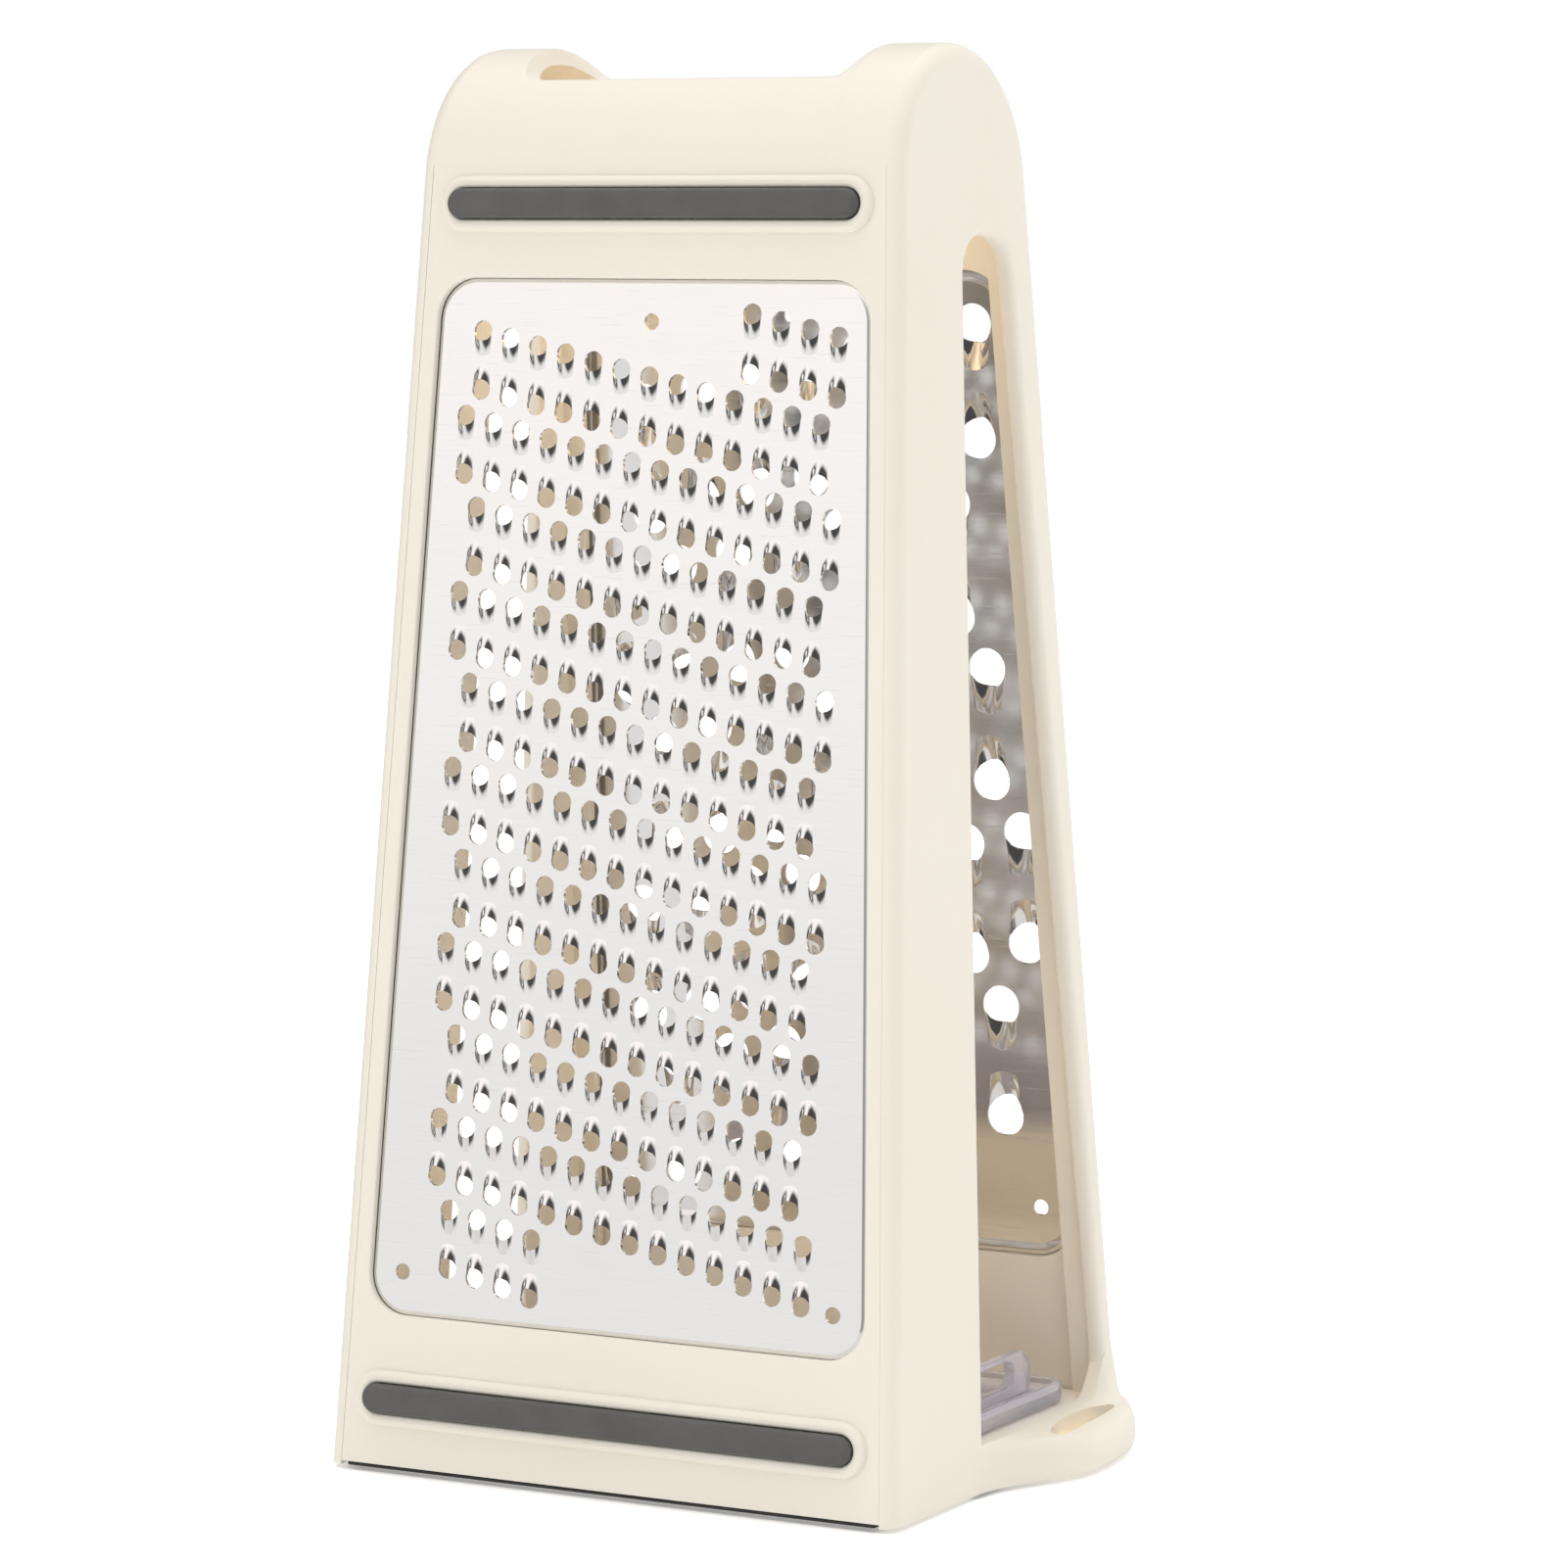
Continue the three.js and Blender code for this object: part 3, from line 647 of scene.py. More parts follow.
# %% [markdown]
# ## Body: floor and ledges
#
# A flat floor joins the walls just above the ground and carries the tray. Behind each panel runs a frame
# of thin ledges that the panel rests against, hung from the arch by a short web.

# %% Floor and ledges
PANEL_THICKNESS = 3
FIT_GAP = 0.3
FLOOR_TOP = SILL_HEIGHT - 0.3
FLOOR_THICKNESS = 2.4
FLOOR_BOTTOM = FLOOR_TOP - FLOOR_THICKNESS
FLOOR_CORNER = 1
LEDGE_WIDTH = 4
LEDGE_RISE = 1
LEDGE_THICKNESS = 1.6
SMALL_ROUND = 0.25
SEAM_TOP = (ARCH_CENTRE + ARCH_RADIUS * math.sin(LEAN)) / math.cos(LEAN) + SEAM_RISE


def face_outline(low, high, inset=0):
    """A trapezoid between the side walls, drawn in by an inset."""
    wide, narrow = inner_half_width(low) - inset, inner_half_width(high) - inset
    return [Vector(p) for p in ((-wide, low), (wide, low), (narrow, high), (-narrow, high))]


def on_face(face):
    return lambda x, s, n: face @ Vector((x, s, n))


def floor_plate(shape):
    reach = half_width(SILL_HEIGHT) - WALL / 2
    depth = half_depth(SILL_HEIGHT) - PANEL_THICKNESS / math.cos(LEAN) - FIT_GAP
    outline = oblong(2 * reach, 2 * depth, corner=FLOOR_CORNER)
    solid_between(shape, [edge(outline, SMALL_ROUND)], FLOOR_BOTTOM, FLOOR_TOP, at)


def ledges(shape, face):
    front = -PANEL_THICKNESS - FIT_GAP
    back = front - LEDGE_THICKNESS
    top = SEAM_TOP + WALL
    outside = face_outline(FLOOR_BOTTOM, top, -WALL / 2)
    inside = face_outline(FLOOR_BOTTOM + LEDGE_RISE, SEAM_TOP - LEDGE_WIDTH, LEDGE_WIDTH)
    edges = [edge(outside), hole(inside, SMALL_ROUND, SMALL_ROUND)]
    solid_between(shape, edges, back, front, on_face(face))
    web = face_outline(SEAM_TOP + FIT_GAP, top, -WALL / 2)
    solid_between(shape, [edge(web)], back + FIT_GAP, -WALL / 2, on_face(face))


floor_plate(body)
for face in FACES.values():
    ledges(body, face)
print("with floor and ledges:", len(body.faces), "faces")

# %% [markdown]
# ## Body: the lip at its foot
#
# On the right the wall's foot swells into a broad rounded lip with a half-moon slot, where the tray
# comes out. The lip is a loft: at each station along y, one profile of heights and shares of its reach.
# At its rear end the lip's top sweeps up the wall in a hollow curve. A Boolean cuts the slot.

# %% Profile and stations of the lip
LIP_FRONT_LENGTH = 26.5
LIP_REAR_LENGTH = 27.3
LIP_CREST = half_depth(SILL_HEIGHT) - 1 - LIP_REAR_LENGTH
LIP_STATIONS = 22
LIP_TOP = 7.1
SWEEP_START = 29.6
SWEEP_END = 40.5
SWEEP_RISE = 10
SILL_INNER = WALL - 0.3
LIP_FACE = [(0, 0.9), (0.7, 0.955), (1.5, 0.985), (2.4, 1), (3.4, 0.995), (4.4, 0.975), (5.3, 0.935),
            (6, 0.88), (6.55, 0.81), (6.9, 0.72)]  # fmt: skip
LIP_CREST_SHARE = 0.62
LIP_TOP_STEPS = 8
LIP_HOLLOW = 1.6
LIP_BITE = 0.02


def smooth_step(low, high, value):
    t = min(1, max(0, (value - low) / (high - low)))
    return t * t * (3 - 2 * t)


def wall_surface(y, z):
    """The wall's outside at a place, with the round of its rear edge."""
    sunk = max(0, WALL - (half_depth(z) - abs(y)) * math.cos(LEAN))
    return half_width(z) - WALL + math.sqrt(max(0, WALL**2 - sunk**2))


def lip_profile(y, swell):
    """Points in x and z round the lip at a station, from the ground outside to the sill inside."""
    sweep = smooth_step(SWEEP_START, SWEEP_END, y)
    sill = SILL_HEIGHT + LIP_BITE + SWEEP_RISE * sweep
    points = list(LIP_FACE)
    for k in range(LIP_TOP_STEPS + 1):
        up = k / LIP_TOP_STEPS
        z = LIP_TOP + (sill - LIP_TOP) * up ** (1 + LIP_HOLLOW * sweep)
        points.append((z, LIP_CREST_SHARE * (1 - up)))
    outside = [(wall_surface(y, z) + LIP_REACH * swell * share - LIP_BITE, z) for z, share in points]
    inner = half_width(sill) - SILL_INNER
    return outside + [(inner + 0.4, sill), (inner + 0.1, sill - 0.1), (inner, sill - 0.4), (inner, 0)]


def lip_stations():
    """Places along the wall's foot with the share of the lip's full reach there."""
    stations = []
    for k in range(-LIP_STATIONS, LIP_STATIONS + 1):
        share = k / LIP_STATIONS
        turn = math.pi / 2 * share
        if share < 0:
            stations.append((LIP_CREST + LIP_FRONT_LENGTH * share, smooth_step(-1, 0, share)))
        else:
            stations.append((LIP_CREST + LIP_REAR_LENGTH * math.sin(turn), math.cos(turn)))
    return stations


print("the lip's crest is at y =", round(LIP_CREST, 2), "mm")

# %% Loft the lip and cut its slot
SLOT_POINTS = [(59.7, 6.7), (60.9, 8.2), (60.7, 15.5), (59.9, 25), (58.7, 31.6), (57.1, 28.8),
               (56.2, 23.5), (56.4, 16), (57.5, 10), (58.5, 7.3)]  # fmt: skip


def flowing(points, steps=5):
    """A closed smooth line through a few points."""
    line = []
    points = [Vector(p) for p in points]
    for i in range(len(points)):
        a, b, c, d = (points[(i + k) % len(points)] for k in (-1, 0, 1, 2))
        for k in range(steps):
            t = k / steps
            line.append(b + (c - a) * t / 2 + (2 * a - 5 * b + 4 * c - d) * t * t / 2
                        + (3 * b - a - 3 * c + d) * t**3 / 2)  # fmt: skip
    return line


def foot_lip():
    shape = bmesh.new()
    rings = []
    for y, swell in lip_stations():
        profile = lip_profile(y, swell)
        rings.append(([Vector(p) for p in profile], [shape.verts.new(at(x, y, z)) for x, z in profile]))
    for (_, here), (_, there) in zip(rings, rings[1:]):
        for i in range(len(here)):
            shape.faces.new((here[i - 1], here[i], there[i], there[i - 1]))
    cap(shape, rings[:1])
    cap(shape, rings[-1:])
    cutter = bmesh.new()
    solid_between(cutter, [edge(flowing(SLOT_POINTS))], -1, 2 * SILL_HEIGHT, at)
    return combined(new_object("lip", shape, CREAM), new_object("slot", cutter, CREAM), "DIFFERENCE")


lip = foot_lip()
arch = new_object("arch", band, CREAM)
for part in (arch, lip):
    body.from_mesh(part.data)
    bpy.data.objects.remove(part)
dressed("body_shell", body, CREAM)

# %% [markdown]
# ## Panels, strips and feet
#
# Each face carries a panel with a window for its plate and two raised beads. The window's rim is
# undercut by the groove that holds the plate, which shows as a fine dark line round the steel. A grey
# strip sits inside each bead and stands a little prouder than it. Under the panel's edge lies a dark
# foot strip. The panel is drawn slightly larger than its solid, so the gaps round it are fine lines.

# %% Sizes of the panels
PANEL_LIFT = 1.1
PANEL_TOP = SEAM_TOP - FIT_GAP
SEEN_LIFT = 0.65
SEEN_TOP = SEAM_TOP - FIT_GAP / 2 + SEAM / 2
SEEN_INSET = 0.04
PANEL_EDGE = 0.12
TOP_BAND = 18.8
FRONT_BAND = 25.4
REAR_BAND = 31.4
WINDOW_TOP = PANEL_TOP - TOP_BAND
WINDOW_BOTTOMS = {"front": PANEL_LIFT + FRONT_BAND, "rear": PANEL_LIFT + REAR_BAND}
WINDOW_CORNER = 7
WINDOW_EDGE = 0.4
SIDE_BAND = 3
RIM_THICKNESS = 1.1
GROOVE_WIDTH = 1.2
GRIP_HEIGHT = 5.3
GRIP_PROUD = 2.6
BEAD_WIDTH = 2.1
BEAD_PROUD = 1.2
BEAD_ROOT = -0.5
BEAD_EDGE = 1
BEAD_INNER_EDGE = 0.55
GRIP_PLAY = 0.15
GRIP_ROOT = 0.02
GRIP_EDGES = (0.9, 0.1)
GRIP_END_INSET = 4.4
UPPER_GRIP_DROP = 6.4
LOWER_GRIP_RISE = 11.1
GRIP_PLACES = {"upper": PANEL_TOP - UPPER_GRIP_DROP, "lower": PANEL_LIFT + LOWER_GRIP_RISE}
FOOT_HEIGHT = 0.5
FOOT_DEPTH = 2.7
FOOT_SET_BACK = 0.3
FOOT_END_INSET = 1
FOOT_CORNER = 0.5
FOOT_EDGE = 0.2


def grip_length(s):
    return 2 * (inner_half_width(s) - GRIP_END_INSET)


print("strips are", [round(grip_length(s), 1) for s in GRIP_PLACES.values()], "mm long")


# %% Make both faces
def window_outline(bottom):
    return rounded_corners(face_outline(bottom, WINDOW_TOP, SIDE_BAND), [WINDOW_CORNER] * 4)


def panel(shape, bottom, place):
    outline = face_outline(SEEN_LIFT, SEEN_TOP, SEEN_INSET)
    window = window_outline(bottom)
    edges = [edge(outline, PANEL_EDGE), hole(window, WINDOW_EDGE)]
    solid_between(shape, edges, -RIM_THICKNESS, 0, place)
    groove = moved_in(window, -GROOVE_WIDTH)
    solid_between(shape, [edge(outline), hole(groove)], -PANEL_THICKNESS, -RIM_THICKNESS, place)
    for s in GRIP_PLACES.values():
        bead = oblong(grip_length(s) + 2 * BEAD_WIDTH, GRIP_HEIGHT + 2 * BEAD_WIDTH, y=s)
        groove = oblong(grip_length(s), GRIP_HEIGHT, y=s)
        edges = [edge(bead, BEAD_EDGE), hole(groove, BEAD_INNER_EDGE)]
        solid_between(shape, edges, BEAD_ROOT, BEAD_PROUD, place)


def grip_strip(s, place):
    shape = bmesh.new()
    outline = oblong(grip_length(s) - 2 * GRIP_PLAY, GRIP_HEIGHT - 2 * GRIP_PLAY, y=s)
    solid_between(shape, [edge(outline, *GRIP_EDGES)], GRIP_ROOT, GRIP_PROUD, place)
    return shape


def foot_strip(turn):
    shape = bmesh.new()
    length = 2 * (inner_half_width(PANEL_LIFT) - FOOT_END_INSET)
    middle = FOOT_SET_BACK + FOOT_DEPTH / 2 - BASE_DEPTH / 2
    edges = [edge(oblong(length, FOOT_DEPTH, y=middle, corner=FOOT_CORNER), FOOT_EDGE)]
    solid_between(shape, edges, 0, FOOT_HEIGHT, lambda x, y, z: at(turn * x, turn * y, z))
    return shape


for end, face in FACES.items():
    shape = bmesh.new()
    panel(shape, WINDOW_BOTTOMS[end], on_face(face))
    dressed(end + "_panel", shape, CREAM)
    for where, s in GRIP_PLACES.items():
        dressed(f"{end}_{where}_grip", grip_strip(s, on_face(face)), GRIP)
    dressed(end + "_foot_strip", foot_strip(1 if end == "front" else -1), FOOT)

# %% [markdown]
# ## The clear tray
#
# The tray is a shallow pan with a low rim, and an upright tab with a finger hole near its right end.
# Clear plastic shows every hidden face, so pan and tab are joined by a Boolean into one closed skin.

# %% Make the tray
TRAY_WALL = 1.5
TRAY_DEPTH = 1.9
TRAY_BOTTOM = SILL_HEIGHT + 0.3
TRAY_FLOOR = TRAY_BOTTOM + TRAY_WALL
TRAY_TOP = TRAY_FLOOR + TRAY_DEPTH
TRAY_END = half_width(TRAY_TOP) - WALL - 0.6
TRAY_FRONT = OPENING_FRONT_BOTTOM + 1
TRAY_CORNER = 4
TRAY_EDGE = 0.5
TRAY_INNER_EDGE = 0.4
TRAY_FILLET = 0.9
TRAY_REAR = half_depth(SILL_HEIGHT) - OPENING_BANDS[1][0] - OPENING_CORNER
TAB_OUTSIDE = TRAY_END - 5
TAB_THICKNESS = 2
TAB_WIDTH = 28
TAB_TOP = TRAY_FLOOR + 7.8
TAB_CORNER = 4
TAB_EDGE = 0.4
FINGER_LENGTH = 15
FINGER_HEIGHT = 4.6
FINGER_DROP = 3.4


def tray_pan():
    shape = bmesh.new()
    middle = (TRAY_FRONT + TRAY_REAR) / 2
    outline = oblong(2 * TRAY_END, TRAY_REAR - TRAY_FRONT, y=middle, corner=TRAY_CORNER)
    rings = quarter_round(TRAY_EDGE, TRAY_BOTTOM, 1) + quarter_round(TRAY_EDGE, TRAY_TOP, -1)[::-1]
    turn = ((TRAY_INNER_EDGE, 0), (0.1, 0.1), (0, TRAY_INNER_EDGE))
    rings += [(TRAY_WALL - inset, TRAY_TOP - drop) for inset, drop in turn]
    fillet = quarter_round(TRAY_FILLET, TRAY_FLOOR, 1)[::-1]
    rings += [(TRAY_WALL + inset, z) for inset, z in fillet]
    below, above = skin(shape, edge(outline)[0], rings, at)
    cap(shape, [below])
    cap(shape, [above])
    return new_object("pan", shape, CLEAR)


def tray_tab():
    shape = bmesh.new()
    middle = (TRAY_FRONT + TRAY_REAR) / 2
    a, low = TAB_WIDTH / 2, TRAY_FLOOR - TRAY_WALL / 2
    corners = [(middle - a, low), (middle + a, low), (middle + a, TAB_TOP), (middle - a, TAB_TOP)]
    outline = rounded_corners(corners, [0, 0, TAB_CORNER, TAB_CORNER])
    finger = oblong(FINGER_LENGTH, FINGER_HEIGHT, middle, TAB_TOP - FINGER_DROP)
    edges = [edge(outline, TAB_EDGE, TAB_EDGE), hole(finger, TAB_EDGE, TAB_EDGE)]
    low, high = TAB_OUTSIDE - TAB_THICKNESS, TAB_OUTSIDE
    solid_between(shape, edges, low, high, lambda y, z, x: at(x, y, z))
    return new_object("tab", shape, CLEAR)


tray = combined(tray_pan(), tray_tab(), "UNION")
tray.name = "catch_tray_dressed"
tray.data.set_sharp_from_angle(angle=math.radians(40))
stand_in(tray, "catch_tray")

# %% [markdown]
# ## The grating plates
#
# Each tooth of a real plate is punched and drawn in one stroke: the steel behind the hole is lifted
# into a small tapering tongue, round on top, whose open end is the cutting lip. The teeth stand in
# pairs, back to back, in sloping staggered rows. One tongue is modelled as a thin patch of a few dozen
# faces, and Geometry Nodes repeat it hundreds of times.

# %% Sizes of the teeth
PITCH = 5.47
ROW_GAP = 14.9
PAIR_GAP = 9.9
ROW_TILT = 0.224
FIELD_MARGIN = 2.75
FIELD_EDGE = 0.5
HOLE_RADIUS = 1.75
HOLE_STEPS = 16
TONGUE_RISE = 0.92
TONGUE_STEEL = 0.4
TONGUE_LIFT = 0.012
TONGUE_ROUND = 0.85
LIP_HALF_WIDTH = 1.62
LIP_SIDE = -0.66
TAIL_HALF_WIDTH = 1.4
TAIL_SIDE = -3.7
TAIL_MIDDLE = -4.2
ACROSS = (-1, -0.74, -0.5, -0.25, 0, 0.25, 0.5, 0.74, 1)
ALONG = (0, 0.35, 0.65, 0.86, 1)
COARSE_SCALE = 2
WELD = 0.002


def tongue(u, v):
    """A point of the tongue: u runs across it, v from its cutting lip to its tail."""
    x = u * (LIP_HALF_WIDTH + (TAIL_HALF_WIDTH - LIP_HALF_WIDTH) * v)
    lip = -math.sqrt(HOLE_RADIUS**2 - (u * LIP_HALF_WIDTH) ** 2)
    tail = TAIL_MIDDLE + (TAIL_SIDE - TAIL_MIDDLE) * u * u
    rise = TONGUE_RISE * (0.5 + 0.5 * math.cos(math.pi * u)) ** TONGUE_ROUND * (1 - v)
    return x, lip + (tail - lip) * v, rise


print("a tongue rises by", round(tongue(0, 0)[2], 2), "mm at its lip")

# %% [markdown]
# The patch has a top and an underside, joined round its rim, so the tongue is a real piece of bent
# steel. The outline that is cut from the sheet follows the hole in front and runs just inside the
# tongue's rim behind, so that the tongue covers the cut and the hollow under it stays open.


# %% One tongue and its cut
def tongue_object(name, scale, finish):
    shape = bmesh.new()
    sides = []
    for drop in (-TONGUE_LIFT, TONGUE_STEEL):
        rows = []
        for v in ALONG:
            places = [Vector(tongue(u, v)) * scale - Vector((0, 0, drop)) for u in ACROSS]
            rows.append([shape.verts.new(place) for place in places])
        sides.append(rows)
    for rows in sides:
        for here, there in zip(rows, rows[1:]):
            for i in range(len(ACROSS) - 1):
                shape.faces.new((here[i], here[i + 1], there[i + 1], there[i]))
    rims = []
    for rows in sides:
        left, right = [row[0] for row in rows], [row[-1] for row in rows]
        rims.append(rows[0] + right[1:] + rows[-1][-2::-1] + left[-2:0:-1])
    above, below = rims
    for i in range(len(above)):
        shape.faces.new((above[i - 1], above[i], below[i], below[i - 1]))
    piece = new_object(name, shape, finish, smooth=50)
    SCENE.collection.objects.unlink(piece)
    return piece


def outline_object(name, outlines):
    """Closed flat curves through lists of points."""
    curve = bpy.data.curves.new(name, "CURVE")
    curve.dimensions = "3D"
    for points in outlines:
        line = curve.splines.new("POLY")
        line.points.add(len(points) - 1)
        for point, (x, s) in zip(line.points, points):
            point.co = (x, s, 0, 1)
        line.use_cyclic_u = True
    return bpy.data.objects.new(name, curve)


def cut_outline(scale, inside=0.93):
    start = math.atan2(LIP_SIDE, LIP_HALF_WIDTH)
    turns = [start + (math.pi - 2 * start) * k / HOLE_STEPS for k in range(HOLE_STEPS + 1)]
    points = [(HOLE_RADIUS * math.cos(a), HOLE_RADIUS * math.sin(a)) for a in turns]
    points += [tongue(-inside, v * inside)[:2] for v in ALONG[1:]]
    points += [tongue(u, inside)[:2] for u in (-0.5, 0, 0.5)]
    points += [tongue(inside, v * inside)[:2] for v in ALONG[:0:-1]]
    return [(x * scale, s * scale) for x, s in points]


print("cut outline has", len(cut_outline(1)), "points")

# %% [markdown]
# ### The tree that repeats a tooth
#
# A Points node makes one point for each place of a grid, and sums on the point's number turn it into
# a row and a column: every other row is shifted by half a pitch, and all rows slope. Points outside the
# field are deleted. Each point then gets two teeth, one turned by half a turn, and two cut outlines.
# Fill Curve makes a sheet with those outlines as holes, and an extrusion gives it thickness.


# %% Places and pairs
def geo(tree, kind, sockets=None, settings=None, output=0):
    """One geometry node."""
    return Wire.make(tree, "GeometryNode" + kind, settings, sockets, output)


def tooth_places(tree, given):
    """Points at the middle of each pair of teeth."""
    number = geo(tree, "InputIndex")
    row = (number / given["Columns"]).math("FLOOR")
    column = number - row * given["Columns"] - given["Columns"] / 2
    row = row - given["Rows"] / 2
    shift = row.math("FLOORED_MODULO", 2) * 0.5
    x = (column + shift) * given["Pitch"] + given["Middle x"]
    s = (row + 0.5) * given["Row gap"] + given["Middle s"] - x * given["Tilt"]
    place = Wire.make(tree, "ShaderNodeCombineXYZ", None, {"X": x, "Y": s})
    count = given["Rows"] * given["Columns"]
    points = geo(tree, "Points", {"Count": count, "Position": place})
    side = (given["Side"] - s * given["Taper"]).math("MINIMUM", given["Field"] / 2)
    aside = x.math("ABSOLUTE") - side
    above = s + given["Reach"] - given["High"]
    below = given["Low"] + given["Reach"] - s
    outside = above.math("MAXIMUM", below).math("MAXIMUM", aside)
    sockets = {"Geometry": points, "Selection": outside.math("GREATER_THAN", 0)}
    return geo(tree, "DeleteGeometry", sockets, {"domain": "POINT"})


def in_pairs(tree, given, points, thing):
    """Two copies of a thing at each point, back to back."""
    info = {"Object": given[thing], "As Instance": True}
    shape = geo(tree, "ObjectInfo", info, output="Geometry")
    copies = []
    for way, turn in ((0.5, 0), (-0.5, math.pi)):
        offset = Wire.make(tree, "ShaderNodeCombineXYZ", None, {"Y": given["Pair gap"] * way})
        moved = geo(tree, "SetPosition", {"Geometry": points, "Offset": offset})
        sockets = {"Points": moved, "Instance": shape, "Rotation": (0, 0, turn)}
        copies.append(geo(tree, "InstanceOnPoints", sockets))
    joined = geo(tree, "JoinGeometry", {"Geometry": copies})
    return geo(tree, "RealizeInstances", {"Geometry": joined})


print("tree helpers ready")


# %% Sheet and tree
def fill_plate(tree, given, points):
    """The sheet with its holes, thickened, and the teeth on it."""
    rim = geo(tree, "ObjectInfo", {"Object": given["Outline"]}, output="Geometry")
    cuts = in_pairs(tree, given, points, "Cut")
    lines = geo(tree, "JoinGeometry", {"Geometry": [rim, cuts]})
    sheet = geo(tree, "FillCurve", {"Curve": lines}, {"mode": "TRIANGLES"})
    drop = Wire.make(tree, "ShaderNodeCombineXYZ", None, {"Z": given["Thickness"] * -1})
    back = geo(tree, "Transform", {"Geometry": sheet, "Translation": drop})
    sockets = {"Mesh": back, "Offset": (0, 0, 1), "Offset Scale": given["Thickness"]}
    sockets["Individual"] = False
    front = geo(tree, "ExtrudeMesh", sockets, {"mode": "FACES"})
    behind = geo(tree, "FlipFaces", {"Mesh": back})
    whole = geo(tree, "JoinGeometry", {"Geometry": [front, behind]})
    welded = geo(tree, "MergeByDistance", {"Geometry": whole, "Distance": WELD})
    teeth = in_pairs(tree, given, points, "Tooth")
    both = geo(tree, "JoinGeometry", {"Geometry": [welded, teeth]})
    plain = geo(tree, "RealizeInstances", {"Geometry": both})
    return geo(tree, "SetMaterial", {"Geometry": plain, "Material": given["Finish"]})


def plate_tree():
    tree = bpy.data.node_groups.new("toothed plate", "GeometryNodeTree")
    lengths = "Pitch,Row gap,Pair gap,Tilt,Field,Reach,Low,High,Middle x,Middle s,Side,Taper,Thickness"
    kinds = dict.fromkeys(lengths.split(","), "Float") | {"Columns": "Int", "Rows": "Int"}
    kinds |= {"Tooth": "Object", "Cut": "Object", "Outline": "Object", "Finish": "Material"}
    for name, kind in kinds.items():
        tree.interface.new_socket(name, in_out="INPUT", socket_type="NodeSocket" + kind)
    tree.interface.new_socket("Plate", in_out="OUTPUT", socket_type="NodeSocketGeometry")
    start = tree.nodes.new("NodeGroupInput")
    given = {name: Wire(start.outputs[name]) for name in kinds}
    plate = fill_plate(tree, given, tooth_places(tree, given))
    end = tree.nodes.new("NodeGroupOutput")
    tree.links.new(plate.socket, end.inputs["Plate"])
    return tree


PLATE_TREE = plate_tree()
print("plate tree has", len(PLATE_TREE.nodes), "nodes")

# %% [markdown]
# ### Two plates from one tree
#
# The coarse plate is the same pattern at twice the size, on a plate that starts higher. The outline also
# holds the three small pilot holes near the plate's edge. The finished plate is turned into a plain
# mesh and gets a rim that bends down into the panel's groove. Faces that look inwards are marked as the
# back, which the steel darkens as painted shade. Then the plate is dropped to its depth below the
# panel's face and tipped onto its side.

# %% Outline of a plate
RIM_BEND = 0.95
RIM_DROP = 0.45
RIM_OVERLAP = 0.05
PLATE_RECESS = 0.8
PLATE_THICKNESS = 0.6
PILOT_DIAMETER = 2.8
PILOT_TOP_DROP = 7.1
PILOT_BOTTOM_RISE = 7.4
PILOT_SIDE_INSET = 6.2


def bent_rim(shape, bottom):
    """The rim from the plate's flat down into the groove, as a closed band."""
    bend = [(RIM_BEND, 0), (RIM_BEND * 0.8, -0.05), (0.1, -RIM_DROP), (-RIM_BEND, -RIM_DROP)]
    rings = bend + [(inset, n - PLATE_THICKNESS) for inset, n in bend[::-1]] + bend[:1]
    skin(shape, edge(window_outline(bottom))[0], rings, lambda x, s, n: Vector((x, s, n)))


def rim_object(bottom):
    """The outline of the plate's flat, and its pilot holes."""
    outlines = [moved_in(window_outline(bottom), RIM_BEND - RIM_OVERLAP)]
    pilot = bottom + PILOT_BOTTOM_RISE
    side = inner_half_width(pilot) - SIDE_BAND - PILOT_SIDE_INSET
    for x, s in ((0, WINDOW_TOP - PILOT_TOP_DROP), (-side, pilot), (side, pilot)):
        outlines.append(oblong(PILOT_DIAMETER, PILOT_DIAMETER, x, s))
    return outline_object("plate outline", outlines)


print("plates lie", PLATE_RECESS, "mm below the face")


# %% Make the plates
PATTERN_MIDDLE = (WINDOW_TOP + WINDOW_BOTTOMS["front"]) / 2
FINE_FIELD_WIDTH = 72
COARSE_FIELD_WIDTH = 82
COARSE_SHIFT = (-2.4, -12.2)
PAINTED_SHADE_SLOPE = -0.3


